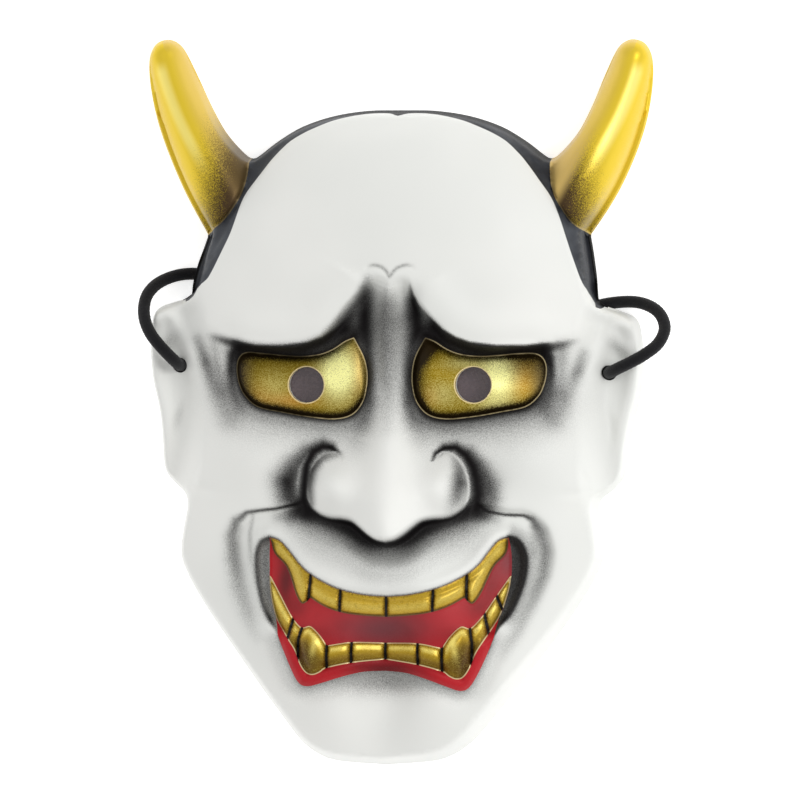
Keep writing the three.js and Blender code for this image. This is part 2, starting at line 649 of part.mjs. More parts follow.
function shell() {
  const front = outerPoints();
  const top = fillRing(front.rim, front.points);
  const reach = (x, y) => wallThickness + (x > 0 ? flangeWidth(x, y) : 0);
  const feet = rimPoints(5.2);
  const rim = closeRing(ringAt(feet, reach, 1.6));
  const seatRings = [];
  for (const [r, n] of [[pupilRadius + 1.2, 10], [seatRadius, 14], [seatRadius + 3, 14]])
    for (let i = 0; i < n; i++) {
      const a = (2 * Math.PI * (i + 0.5)) / n;
      seatRings.push([pupilX + r * Math.cos(a), pupilY + r * Math.sin(a)]);
    }
  const rings = [];
  for (const more of [0.7, 2.4, 5.2])
    for (const p of ringAt(feet, (x, y) => reach(x, y) + more, 1.2))
      if (rings.every((q) => Math.hypot(p[0] - q[0], p[1] - q[1]) > 0.9 + more / 4)) rings.push(p);
  const near = scatter([...rim, ...seatRings, ...rings], (x, y) => spacing(x, y) * 1.55,
    (x, y) => signed(x, y, outline) > 4.2 + flangeWidth(x, y), 2.2);
  const bottom = fillRing(rim, bothSides([...seatRings, ...rings, ...near]));
  const positions = [];
  const triangles = [];
  top.points.forEach(([x, y], i) => {
    const foot = rimHeight(x, y);
    positions.push(...uneven(x, y), i < top.loop.length ? foot : Math.max(form(x, y), foot + 0.3));
  });
  const base = top.points.length;
  bottom.points.forEach(([x, y], i) => {
    const foot = rimHeight(x, y);
    positions.push(...uneven(x, y), i < bottom.loop.length ? foot : Math.max(innerHeight(x, y), foot + 0.05));
  });
  for (const t of top.triangles) triangles.push(...t);
  for (const [a, b, c] of bottom.triangles) triangles.push(base + a, base + c, base + b);
  // Rim between the two loops, each step taken on the loop that gives the shorter edge
  const [m, n] = [top.loop.length, bottom.loop.length];
  const far = (i, j) =>
    Math.hypot(top.loop[i % m][0] - bottom.loop[j % n][0], top.loop[i % m][1] - bottom.loop[j % n][1]);
  let i = 0;
  let j = 0;
  while (i < m || j < n) {
    if (j === n || (i < m && far(i + 1, j) <= far(i, j + 1))) {
      triangles.push(i % m, (i + 1) % m, base + (j % n));
      i++;
    } else {
      triangles.push(i % m, base + ((j + 1) % n), base + (j % n));
      j++;
    }
  }
  let made = solid(positions, triangles);
  if (made.volume() < 0) {
    for (let t = 0; t < triangles.length; t += 3)
      [triangles[t], triangles[t + 1]] = [triangles[t + 1], triangles[t]];
    made = solid(positions, triangles);
  }
  for (const side of [-1, 1]) {
    made = made.subtract(pin(side * pupilX, pupilY, pupilRadius, -1, maskDepth));
    made = made.subtract(pin(...uneven(side * cordHoleX, cordHoleY), cordHoleRadius, -1, maskDepth, 16));
  }
  return made;
}

addMesh("mask_shell", shell(), 0xe8eae7, 0.55);

// Tinted discs behind the pupils
for (const [name, side] of [["eye_lens_left", -1], ["eye_lens_right", 1]]) {
  const topOfLens = seat - fitGap;
  addMesh(name, pin(side * pupilX, pupilY, lensRadius, topOfLens - lensThickness, topOfLens, 28), 0x3a3238, 0.2);
}

// Knots inside the ears, and the cord that runs from one to the other
const knotTop = Math.min(inner(cordHoleX, cordHoleY), inner(cordHoleX + 3, cordHoleY), inner(cordHoleX - 3, cordHoleY)) - fitGap;
for (const [name, side] of [["cord_knot_left", -1], ["cord_knot_right", 1]]) {
  const geometry = new THREE.SphereGeometry(knotRadius, 10, 8);
  geometry.rotateX(Math.PI / 2);
  geometry.scale(1, 1, knotHeight / 2 / knotRadius);
  const bounds = new THREE.Box3().setFromBufferAttribute(geometry.attributes.position);
  geometry.translate(...uneven(side * cordHoleX, cordHoleY), knotTop - bounds.max.z);
  addMesh(name, solidFrom(geometry), 0x141418, 0.95);
}

// Cord path: loop outside the left ear, easy bend over the floor in the hollow, loop outside the right ear
const lying = cordRadius + floorGap;
const cordPath = [
  [-79.85, 12.3, knotTop + fitGap], [-79.9, 12.35, 15.2], [-80.9, 13.3, 19.4], [-83.3, 15.8, 22.6],
  [-86.7, 19.5, 23.8], [-89.9, 23.6, 22.8], [-92.1, 28.4, 20.4], [-92.8, 33.2, 17.2], [-91.9, 38, 13.6],
  [-89, 42.3, 9.8], [-84.3, 45.6, 6.2], [-78.4, 47.3, 3.6], [-71.8, 47, lying + 0.1], [-62.5, 43.2, lying],
  [-54, 34, lying], [-46, 19, lying], [-36, 2, lying], [-20, -10.5, lying], [0, -15, lying], [21, -12, lying],
  [38, -1, lying], [51, 14.5, lying], [61.5, 28, lying], [72.4, 36, lying + 0.1], [82.9, 38.6, 4.1],
  [92, 38.4, 7.8], [98.5, 35, 12.2], [100.9, 29.3, 16.6], [98.6, 23.6, 20.4], [93.6, 19.4, 23.0],
  [88.0, 16.2, 23.6], [83.5, 14, 21.8], [80.8, 12.7, 18.6], [79.9, 12.35, 14.8], [79.85, 12.3, knotTop + fitGap],
].map(([x, y, z]) => [...uneven(x * wide, y * tall), z]);
const cordCurve = new THREE.CatmullRomCurve3(cordPath.map(([x, y, z]) => new THREE.Vector3(x, y, z)), false, "centripetal");
const section = new THREE.Shape();
for (let i = 0; i < 8; i++) {
  const a = (2 * Math.PI * i) / 8;
  section[i ? "lineTo" : "moveTo"](cordRadius * Math.cos(a), cordRadius * Math.sin(a));
}
section.closePath();
const tube = new THREE.ExtrudeGeometry(section, { steps: 70, bevelEnabled: false, extrudePath: cordCurve });
addMesh("elastic_cord", solidFrom(tube), 0x121216, 0.95);

// The shell's own middle stands over the origin
const shellBox = new THREE.Box3().setFromObject(group.getObjectByName("mask_shell"));
group.position.x = -(shellBox.min.x + shellBox.max.x) / 2;
group.position.y = -(shellBox.min.y + shellBox.max.y) / 2;

export default group;
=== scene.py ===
# Hannya mask: one painted shell with gold horns, tinted eye discs and an elastic cord
import math

import bpy
import numpy as np
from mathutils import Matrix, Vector, geometry


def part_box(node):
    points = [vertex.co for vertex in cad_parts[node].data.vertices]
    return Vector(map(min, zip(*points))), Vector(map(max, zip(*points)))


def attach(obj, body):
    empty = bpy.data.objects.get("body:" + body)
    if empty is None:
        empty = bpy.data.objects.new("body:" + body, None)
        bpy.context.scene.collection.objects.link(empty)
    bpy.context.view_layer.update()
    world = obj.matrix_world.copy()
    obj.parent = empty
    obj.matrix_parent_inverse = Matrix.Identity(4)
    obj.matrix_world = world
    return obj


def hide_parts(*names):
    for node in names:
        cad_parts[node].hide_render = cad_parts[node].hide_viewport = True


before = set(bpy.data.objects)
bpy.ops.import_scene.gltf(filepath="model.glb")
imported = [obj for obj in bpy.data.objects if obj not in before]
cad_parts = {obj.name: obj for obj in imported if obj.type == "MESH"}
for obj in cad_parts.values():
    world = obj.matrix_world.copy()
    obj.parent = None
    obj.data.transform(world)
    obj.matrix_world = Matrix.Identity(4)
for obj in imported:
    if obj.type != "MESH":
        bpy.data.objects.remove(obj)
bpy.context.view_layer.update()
mm = 0.001
rowShift = (-1.3773, -0.0936, 0)  # millimetres from the drawing's own middle to the shell's
print("frame loaded", sorted(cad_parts))

camera = {
    "tilt": 4.0,        # degrees towards the right of the face
    "distance": 8.0,
    "lens": 900,
    "width": 0.2965,    # metres across the picture at the face
    "aimX": 0.0017,
    "aimY": 0.0007,
    "aimZ": 0.030,
}


def addObject(name, data):
    ob = bpy.data.objects.new(name, data)
    bpy.context.scene.collection.objects.link(ob)
    return ob


def placeCamera():
    data = bpy.data.cameras.new("camera")
    data.sensor_width = camera["lens"] * camera["width"] / camera["distance"]
    data.lens = camera["lens"]
    data.clip_end = 20
    ob = addObject("camera", data)
    tilt = math.radians(camera["tilt"])
    aim = Vector((camera["aimX"], camera["aimY"], camera["aimZ"]))
    ob.location = aim + camera["distance"] * Vector((math.sin(tilt), 0, math.cos(tilt)))
    ob.rotation_euler = (0, tilt, 0)
    bpy.context.scene.camera = ob


placeCamera()
print("camera placed")


class Board:
    # the nodes of one material: each call adds a node and joins what it is given
    def __init__(self, name, colours=None):
        self.material = bpy.data.materials.new(name)
        self.material.use_nodes = True
        self.tree = self.material.node_tree
        self.surface = self.tree.nodes["Principled BSDF"].inputs
        self.colours = colours

    def feed(self, socket, value):
        # value is a node's output, a number, a colour or the name of a colour
        if isinstance(value, str):
            value = self.colours[value]
        if isinstance(value, bpy.types.NodeSocket):
            self.tree.links.new(value, socket)
        else:
            socket.default_value = (*value, 1) if isinstance(value, tuple) else value

    def give(self, name, value):
        self.feed(self.surface[name], value)

    def add(self, kind, inputs=(), **settings):
        made = self.tree.nodes.new(kind)
        for key, value in settings.items():
            setattr(made, key, value)
        for key, value in dict(inputs).items():
            self.feed(made.inputs[key], value)
        return made

    def sum(self, kind, a, b=0.0, c=0.0, clamp=False):
        return self.add("ShaderNodeMath", {0: a, 1: b, 2: c}, operation=kind, use_clamp=clamp).outputs[0]

    def times(self, a, b):
        return self.sum("MULTIPLY", a, b)

    def most(self, a, b):
        return self.sum("MAXIMUM", a, b)

    def ramp(self, value, low, high, to0=0.0, to1=1.0):
        made = self.add("ShaderNodeMapRange", {"Value": value, "From Min": low, "From Max": high,
                                               "To Min": to0, "To Max": to1}, interpolation_type="SMOOTHSTEP")
        return made.outputs["Result"]

    def near(self, value, middle, full, none, most=1.0):
        # a line: most where value is close to middle, 0 further away
        return self.ramp(self.sum("ABSOLUTE", self.sum("SUBTRACT", value, middle)), full, none, most, 0.0)

    def mix(self, factor, a, b):
        return self.add("ShaderNodeMix", {0: factor, 6: a, 7: b}, data_type="RGBA").outputs[2]

    def blend(self, factor, a, b):
        return self.add("ShaderNodeMix", {0: factor, 2: a, 3: b}, data_type="FLOAT").outputs[0]

    def noise(self, scale, detail, rough):
        place = self.add("ShaderNodeTexCoord").outputs["Object"]
        return self.add("ShaderNodeTexNoise", {"Scale": scale, "Detail": detail, "Roughness": rough,
                                               "Vector": place}).outputs["Fac"]

    def value(self, name):
        return self.add("ShaderNodeAttribute", attribute_name=name).outputs["Fac"]

    def bump(self, height, distance, strength=1.0):
        made = self.add("ShaderNodeBump", {"Height": height, "Distance": distance, "Strength": strength})
        self.give("Normal", made.outputs["Normal"])


def srgb(r, g, b):
    def one(v):
        v /= 255
        return v / 12.92 if v <= 0.04045 else ((v + 0.055) / 1.055) ** 2.4
    return (one(r), one(g), one(b))


lighting = {
    "world": 0.79,
    "key": 9.5, "keyPlace": (1.1, 0.45, 1.25), "keySize": 0.7,
    "fill": 0.8, "fillPlace": (-0.9, 0.5, 1.4), "fillSize": 1.0, "aim": (0, 0, 0.03),
    "floor": (0.93, 0.93, 0.93), "floorGlow": 0.55, "floorReach": 3.0,
}


def areaLight(name):
    data = bpy.data.lights.new(name + "Light", "AREA")
    data.energy, data.size = lighting[name], lighting[name + "Size"]
    ob = addObject(name + "Light", data)
    ob.location = lighting[name + "Place"]
    ob.rotation_euler = (Vector(lighting["aim"]) - ob.location).to_track_quat("-Z", "Y").to_euler()


def setStage():
    scene = bpy.context.scene
    scene.view_settings.view_transform = "Standard"
    world = bpy.data.worlds.new("studio")
    scene.world = world
    world.use_nodes = True
    sky = world.node_tree.nodes["Background"]
    sky.inputs["Color"].default_value = (1, 1, 1, 1)
    sky.inputs["Strength"].default_value = lighting["world"]
    areaLight("key")
    areaLight("fill")
    mesh = bpy.data.meshes.new("floor")
    r = lighting["floorReach"]
    mesh.from_pydata([(-r, -r, 0), (r, -r, 0), (r, r, 0), (-r, r, 0)], [], [(0, 1, 2, 3)])
    b = Board("paleFloor")
    b.give("Base Color", lighting["floor"])
    b.give("Roughness", 0.9)
    b.give("Emission Color", (1, 1, 1))
    b.give("Emission Strength", lighting["floorGlow"])
    mesh.materials.append(b.material)
    addObject("floor", mesh)


setStage()
print("stage set")

# Cord: the same route as the solid, from knot to knot

cord = {
    "radius": 2.3 * mm,
    "length": 0.331,
    "gap": 0.45 * mm,           # between the rings of the mesh
    "braidDepth": 0.16 * mm, "strands": 6, "pitch": 4.0,
    "tuckDepth": 0.9 * mm, "tuckLength": 1.0 * mm,    # the ends narrow inside the knots
    "knotTube": 1.75 * mm, "knotRelief": 0.1 * mm,
    "black": srgb(5, 5, 7), "fuzz": srgb(26, 25, 30), "worn": srgb(3, 3, 4),
    "route": [
        (-81.28, 13.64, 12.89), (-81.33, 13.69, 15.2), (-82.33, 14.66, 19.4), (-84.74, 17.21, 22.6),
        (-88.18, 20.97, 23.8), (-91.47, 25.12, 22.8), (-93.78, 29.96, 20.4), (-94.56, 34.78, 17.2),
        (-93.68, 39.56, 13.6), (-90.75, 43.45, 9.8), (-85.97, 46.17, 6.2), (-80.01, 47.58, 3.6),
        (-73.4, 47.28, 2.6), (-63.95, 43.71, 2.5), (-55.53, 34.19, 2.5), (-47.59, 18.91, 2.5), (-37.42, 1.91, 2.5),
        (-21.38, -10.59, 2.5), (-1.43, -15.09, 2.5), (19.61, -12.09, 2.5), (36.61, -1.09, 2.5),
        (49.45, 14.27, 2.5), (59.9, 27.1, 2.5), (70.65, 34.6, 2.6), (81.12, 37.02, 4.1), (90.22, 36.65, 7.8),
        (96.73, 33.13, 12.2), (99.21, 27.39, 16.6), (97.03, 21.73, 20.4), (92.14, 17.62, 23), (86.6, 14.52, 23.6),
        (82.1, 12.4, 21.8), (79.38, 11.15, 18.6), (78.47, 10.82, 14.8), (78.42, 10.77, 12.89),
    ],
}


def smoothRoute(points, gap):
    p = [Vector(q) for q in points]
    p = [2 * p[0] - p[1]] + p + [2 * p[-1] - p[-2]]
    fine = []
    for i in range(1, len(p) - 2):
        a, b, c, d = p[i - 1:i + 3]
        t1, t2, t3 = (b - a).length ** 0.5, (c - b).length ** 0.5, (d - c).length ** 0.5
        m1 = ((b - a) / t1 - (c - a) / (t1 + t2) + (c - b) / t2) * t2
        m2 = ((c - b) / t2 - (d - b) / (t2 + t3) + (d - c) / t3) * t2
        for k in range(24):
            t = k / 24
            fine.append(b + m1 * t + (3 * (c - b) - 2 * m1 - m2) * t * t + (2 * (b - c) + m1 + m2) * t ** 3)
    fine.append(p[-2])
    far = [0.0]
    for a, b in zip(fine, fine[1:]):
        far.append(far[-1] + (b - a).length)
    want = np.linspace(0, far[-1], int(far[-1] / gap) + 1)
    return np.stack([np.interp(want, far, [v[k] for v in fine]) for k in range(3)], 1), far[-1]


def sweep(path, radius, sides, relief, closed=False):
    # rings carried along the path without twist
    count = len(path)
    ways = np.gradient(path, axis=0) if not closed else np.roll(path, -1, 0) - np.roll(path, 1, 0)
    ways /= np.linalg.norm(ways, axis=1, keepdims=True)
    side = np.cross(ways[0], (0, 0, 1) if abs(ways[0][2]) < 0.8 else (1, 0, 0))
    angles = np.arange(sides) * 2 * math.pi / sides
    rings = []
    for k in range(count):
        side = side - ways[k] * side.dot(ways[k])
        side /= np.linalg.norm(side)
        up = np.cross(ways[k], side)
        r = radius + relief(k, angles)
        rings.append(path[k] + np.outer(np.cos(angles) * r, side) + np.outer(np.sin(angles) * r, up))
    points = np.vstack(rings)
    faces = []
    for k in range(count if closed else count - 1):
        n = (k + 1) % count
        for s in range(sides):
            t = (s + 1) % sides
            faces.append((k * sides + s, k * sides + t, n * sides + t, n * sides + s))
    if not closed:
        faces.append(tuple(range(sides - 1, -1, -1)))
        faces.append(tuple((count - 1) * sides + s for s in range(sides)))
    return points, faces


def newPiece(name, points, faces, material):
    mesh = bpy.data.meshes.new(name)
    mesh.from_pydata([tuple(p) for p in points], [], [tuple(int(i) for i in f) for f in faces])
    mesh.materials.append(material)
    mesh.shade_smooth()
    return addObject(name, mesh)


def braidMaterial():
    b = Board("braidedElastic", cord)
    fuzz, patch = b.noise(3800, 3, 0.7), b.noise(420, 2, 0.5)
    deep = b.mix(b.ramp(fuzz, 0.42, 0.68), "black", "fuzz")
    b.give("Base Color", b.mix(b.ramp(patch, 0.35, 0.7, 0.0, 0.35), deep, "worn"))
    b.give("Roughness", 0.95)
    b.give("Specular IOR Level", 0.2)
    b.give("Sheen Weight", 0.12)
    b.give("Sheen Roughness", 0.6)
    b.bump(fuzz, 0.12 * mm)
    return b.material


cordPaint = braidMaterial()


def makeKnot(name, node):
    low, high = (np.array(v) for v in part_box(node))
    middle, reach = (low + high) / 2, (high - low) / 2
    t = np.linspace(0, 2 * math.pi, 120, endpoint=False)
    loop = np.stack([np.sin(t) + 2 * np.sin(2 * t), np.cos(t) - 2 * np.cos(2 * t), -np.sin(3 * t)], 1)
    tube, relief, strands = cord["knotTube"], cord["knotRelief"], cord["strands"]
    loop = loop / np.abs(loop).max(0) * (reach - tube - relief)

    def weave(k, a):
        return relief * np.sin(strands * a + k * 0.5) * np.sin(strands * a - k * 0.5)
    points, faces = sweep(loop, tube, 16, weave, True)
    ob = newPiece(name, points + middle, faces, cordPaint)
    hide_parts(node)
    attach(ob, "root")
    return ob


def makeCord():
    points = [(x * mm, y * mm, z * mm) for x, y, z in cord["route"]]
    gap, strands = cord["gap"], cord["strands"]
    path, length = smoothRoute(points, gap)

    def braid(k, a):
        run = k * gap / cord["radius"] * cord["pitch"]
        weave = np.abs(np.sin(strands * a + run)) * np.abs(np.sin(strands * a - run))
        tuck = min(k, len(path) - 1 - k) * gap / cord["tuckLength"]
        return cord["braidDepth"] * (weave - 0.6) - cord["tuckDepth"] * max(0.0, 1 - tuck) ** 2
    spots, faces = sweep(path, cord["radius"] - 0.04 * mm, 36, braid)
    ob = newPiece("braided_cord", spots, faces, cordPaint)
    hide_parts("elastic_cord")
    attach(ob, "root")
    knots = [makeKnot("knot_left", "cord_knot_left"), makeKnot("knot_right", "cord_knot_right")]
    print("cord made, length", round(length, 4))


makeCord()

# Curves of the carving, right half, in millimetres from the middle of the drawing

def spline(points, steps=4):
    p = np.array(points, float)
    p = np.vstack([2 * p[0] - p[1], p, 2 * p[-1] - p[-2]])
    out = []
    for a, b, c, d in zip(p, p[1:], p[2:], p[3:]):
        for k in range(steps):
            t = k / steps
            out.append(0.5 * (2 * b + (c - a) * t + (2 * a - 5 * b + 4 * c - d) * t * t
                              + (3 * b - a - 3 * c + d) * t ** 3))
    out.append(p[-2])
    return np.array(out)


def join(*runs):
    out = runs[0]
    for run in runs[1:]:
        out = np.vstack([out, run[1:] if np.hypot(*(run[0] - out[-1])) < 1e-6 else run])
    return out


def along(x, y, line):
    # distance to a line, how far along it, and the side
    line = np.asarray(line, float)
    best, at, side = np.full(x.shape, 1e18), np.zeros(x.shape), np.ones(x.shape)
    start = 0.0
    for (px, py), (qx, qy) in zip(line, line[1:]):
        ux, uy = qx - px, qy - py
        squared = ux * ux + uy * uy
        length = math.sqrt(squared)
        t = np.clip(((x - px) * ux + (y - py) * uy) / squared, 0, 1)
        ex, ey = x - px - t * ux, y - py - t * uy
        q = ex * ex + ey * ey
        near = q < best
        best = np.where(near, q, best)
        at = np.where(near, start + t * length, at)
        side = np.where(near, np.sign(ux * (y - py) - uy * (x - px)), side)
        start += length
    return np.sqrt(best), at / start, side


def inside(x, y, ring):
    ring = np.asarray(ring, float)
    odd = np.zeros(x.shape, bool)
    for (px, py), (qx, qy) in zip(ring, np.roll(ring, -1, axis=0)):
        if py != qy:
            odd ^= ((py > y) != (qy > y)) & (x < px + (y - py) * (qx - px) / (qy - py))
    return odd


def signed(x, y, line, closing=()):
    ring = np.vstack([line, closing]) if len(closing) else line
    return along(x, y, line)[0] * np.where(inside(x, y, ring), 1, -1)


def curveAt(v, table):
    table = np.array(table, float)
    k, f = table[:, 0], table[:, 1]
    slope = np.gradient(f, k)
    i = np.clip(np.searchsorted(k, v) - 1, 0, len(k) - 2)
    h = k[i + 1] - k[i]
    s = np.clip((v - k[i]) / h, 0, 1)
    return ((1 + 2 * s) * (1 - s) ** 2 * f[i] + s * (1 - s) ** 2 * h * slope[i]
            + s * s * (3 - 2 * s) * f[i + 1] - s * s * (1 - s) * h * slope[i + 1])


def step(a, b, v):
    t = np.clip((v - a) / (b - a), 0, 1)
    return t * t * (3 - 2 * t)


def bump(v, width):
    return np.exp(-(v / width) ** 2)


def hill(x, y, cx, cy, rx, ry, turn=0.0):
    c, s = math.cos(turn), math.sin(turn)
    return np.exp(-(((x - cx) * c + (y - cy) * s) / rx) ** 2 - (((y - cy) * c - (x - cx) * s) / ry) ** 2)


def hills(x, y, table):
    # each row: height, middle x and y, half widths, turn
    return sum(height * hill(x, y, *place) for height, *place in table)


def share(v):
    return np.clip(v, 0, 1)


def lower(a, b, k):
    h = np.clip(0.5 + 0.5 * (b - a) / k, 0, 1)
    return b * (1 - h) + a * h - k * h * (1 - h)


def upper(a, b, k):
    return -lower(-a, -b, k)


outline = join(
    spline([(0, 108.6), (12.4, 108.4), (25.1, 106.5), (36.9, 102.6), (46.1, 97.2), (52.9, 92), (55.8, 90.7),
            (59.4, 93.1), (65.7, 100.5), (71, 110.4), (75.3, 120.2), (79.9, 129.9), (82.9, 133.6), (86.9, 135),
            (91.4, 133.1), (93.8, 127.4), (93.6, 117.7), (91.4, 105.4), (87.8, 94.1), (82.6, 81.8), (77.5, 72.2),
            (71.3, 62.2)]),
    spline([(71.3, 62.2), (73.1, 55.1), (75.2, 44.4), (75.9, 39)], 3),
    spline([(75.9, 39), (79, 37), (83.8, 35.5), (89.1, 33.1), (91.2, 28.3), (92, 18), (91.2, 6.8), (88.6, -4.6),
            (87.1, -14.4), (85.7, -25.8), (82.1, -31), (77.8, -34.8), (76.8, -39), (77.7, -44.9), (78.9, -55.4),
            (77, -62.4), (72.3, -71.3), (64.2, -83.7), (53.4, -98.6), (40.8, -115.3), (32.3, -125.7), (25.1, -131),
            (17.1, -133.5), (0, -134.8)]))
forehead = spline([(0, 106.2), (1.2, 106.5), (2.6, 107), (5, 107.3), (10, 107.2), (15, 106.6), (20, 105.6),
                   (25, 104.2), (30, 102.2), (35, 99.9), (40, 96.9), (44, 93.2), (47.5, 89.3), (52.8, 82.2),
         (57.2, 76),
                   (60.5, 69), (63.1, 62.6), (66.3, 54.8), (70, 46.3), (74, 39.4), (76.5, 35)])
hornFoot = spline([(55.8, 93), (56.2, 85), (57.2, 79.5), (59.6, 74), (64.6, 67), (71.3, 62.2)])
hornAxis = spline([(61.5, 73), (66.5, 82), (73.5, 95), (79.6, 107), (84.3, 119), (86.9, 128.5)])
eye = spline([(13.2, 23.9), (9.6, 17), (8.3, 11), (8.5, 5.5), (10.1, -0.2), (14.1, -4.7), (20.7, -6.3), (31, -5.4),
              (40.7, -3.7), (49.6, -1.8), (54.3, 2), (56.6, 6.4), (57.6, 11.8), (56.8, 16), (54, 18.2), (47.7, 18.1),
              (40, 17.4), (33.3, 17), (26.4, 17.7), (21.2, 19.6), (16.7, 22.5), (13.2, 23.9)])
brow = spline([(6.8, 49), (8.5, 44.5), (12, 40), (16, 36.2), (20.5, 29.5), (25.4, 24.5), (35.5, 20.6), (46, 20.8),
               (56.5, 22.2), (64, 25), (71, 30)])
browRight = spline([(6.8, 48.4), (8.2, 43.2), (10.8, 37.8), (14.8, 33), (19.4, 28), (25, 24), (35.5, 20.8), (46, 20.9),
                    (56.5, 22.2), (64, 25), (71, 30)])
nose = spline([(17.1, -22.1), (18, -19.4), (20.6, -18.1), (24, -19.3), (27.1, -22.3), (29.4, -27), (30.2, -32),
               (29.8, -36), (28.1, -39.6), (25.1, -42.1), (21.3, -43.4), (16.8, -43.8), (13.2, -44.6),
               (10.4, -46.6), (7, -49.4), (3.6, -51.4), (0, -52.2)])
fold = spline([(31, -37.6), (37.4, -39), (44.4, -40.5), (51.2, -41.4), (57.4, -46.8), (59.4, -56.5), (57.5, -66.9),
               (52.5, -77.9), (46.6, -88.2)])
upperLip = spline([(0, -71.9), (8.3, -71.2), (16.8, -69.4), (23.2, -66.9), (29.1, -63.6), (33.3, -60),
                   (37.4, -54.8), (40.8, -51.2), (44.3, -50.1)])
mouthSide = spline([(44.3, -50.1), (47.6, -51.8), (49.4, -55.5), (49.8, -60.5), (48.5, -68.5), (45.7, -76.6),
                    (41.7, -83.8), (40.1, -86.6)])
lowerLip = spline([(0, -99.4), (8.1, -100), (16, -102.1), (23.3, -104.6), (28.5, -106), (31.8, -104.6),
                   (34.9, -99.2), (38.1, -91.8), (40.1, -86.6)])
upperBite = join(spline([(0, -79.4), (9.3, -78.8), (17, -77.6), (23.3, -75.4), (28.6, -72.3)]),
                 spline([(28.6, -72.3), (30, -73.9), (31.9, -74.4), (34.3, -70.9), (36.6, -65), (38.9, -60.3),
                         (43, -55.9), (44.3, -50.1)]))
lowerBite = join(spline([(0, -89), (12.2, -88.9), (21.3, -90.4)]),
                 spline([(21.3, -90.4), (24.2, -86.2), (27.9, -82.9), (30.9, -83.5), (33.2, -81.8), (36.2, -77.8),
                         (40, -71.5), (44.9, -63.6)]))
lowerRoot = spline([(44.9, -63.6), (44.2, -70), (41.6, -79.2), (37.4, -86.4), (33.6, -92.4), (31.6, -97.6),
                    (29.2, -101), (26.5, -101.7), (23.8, -100.6), (21.3, -99), (12.2, -96.8), (0, -95.2)])
mouth = join(upperLip, mouthSide, lowerLip[::-1])
redEdge = join(upperLip, spline([(44.3, -50.1), (44.9, -56.5), (44.9, -63.6)]), lowerRoot[:9],
               spline([(41.3, -80), (40.6, -83.4), (40.1, -86.6)]), lowerLip[::-1])
upperTeeth = join(upperLip, upperBite[::-1])
lowerTeeth = join(lowerBite, lowerRoot)
earRidge = spline([(88, 29.5), (82.5, 30), (77.5, 21), (73.5, 11), (70.5, 2)])
heartLine = spline([(0, 46.4), (2.3, 49.4), (5.5, 50.6), (8, 50.2), (9.6, 48.6)])
upperGaps = [(0, [(17.1, -68), (17.2, -78.5)]), (0, [(28.8, -62), (29.3, -73.4)])]
lowerGaps = [  # side (0 both, 1 right, -1 left) and line
    (0, [(12.2, -87.9), (12.4, -97.8)]), (0, [(21.3, -89), (21.4, -100)]),
    (0, [(30.9, -82.5), (32.2, -88.5), (32.2, -95.8)]), (-1, [(34.4, -79), (36.5, -88.2)]),
    (1, [(35.8, -77.5), (38.2, -86)]), (1, [(39.8, -71.2), (42.7, -77.4)])]

profile = [(-146, 20), (-133.8, 34), (-122, 43), (-108, 48), (-90, 49.5), (-70, 48.5), (-50, 46), (-30, 44),
           (-10, 43), (10, 43.5), (30, 45), (50, 46), (70, 43.5), (88, 37), (100, 29.5), (108, 22), (120, 8)]
halfWidth = [(-146, 38), (-133.8, 48), (-122, 56), (-108, 63), (-90, 72), (-70, 83), (-50, 92), (-30, 94), (-10, 93),
             (10, 92), (30, 90), (50, 85), (70, 77), (88, 65), (100, 56), (108, 48), (120, 36)]
noseRise = [(-160, 0), (-68, 0), (-60, 9), (-53, 18.5), (-49, 21.6), (-44, 22.8), (-38, 21.4), (-25, 14), (-10, 7),
            (4, 2.5), (16, 0), (30, 0)]
noseWidth = [(-60, 14), (-48, 13.5), (-38, 13), (-25, 11.5), (-10, 9.5), (4, 8), (16, 7), (30, 7)]
hornRise = [(0, 27), (0.25, 26), (0.5, 22.5), (0.75, 17), (1, 11)]
hornWidth = [(0, 15.5), (0.25, 14.2), (0.5, 11.6), (0.75, 9), (1, 7)]
# how far the moulding's middle and its edge stand to one side, from chin to horns
middleShift = [(-146, -4.2), (-130, -3.9), (-118, -2.7), (-104, -1.5), (-92, -1.3), (-75, -0.4), (-60, 0.3),
               (-48, -0.3), (-10, 0), (40, 0), (50, 0.4), (62, 1.2), (100, 1.8), (146, 1.6)]
edgeShift = [(-146, -4.2), (-130, -3.9), (-118, -3.2), (-107, -2.9), (-90, -2.1), (-75, -1.85), (-45, -1.65),
             (-20, -0.7), (-5, 0), (52, 0), (66, 1.1), (146, 1.1)]

shell = {
    "wall": 2.0, "wallRise": 26.0, "wallRun": 2.2, "wallDraft": 7.0,
    "flange": 1.7, "flangeHeight": 2.2,
    "archHeight": 6.6, "archReach": 8.5, "archPlaces": [(-75.4, 46.6), (78, 37.2)],
    "pupil": (30.95, 6.4, 6.6, 72), "cordHole": (79.85, 12.3, 2.8, 32),  # middle, radius and points round it
    "seat": 10.6, "fineGap": 0.62, "plainGap": 1.2, "innerGap": 2.3,
    "rimGap": 1.15, "rimRings": (0.12, 0.3, 0.6, 1.0, 1.5, 2.1, 2.9), "flangeRings": (0.15, 0.4, 0.8), "crowd": 0.22,
    "mouthLean": 0.03, "earLean": 0.018, "sharpFrom": 62,
}
holes = shell["pupil"], shell["cordHole"]

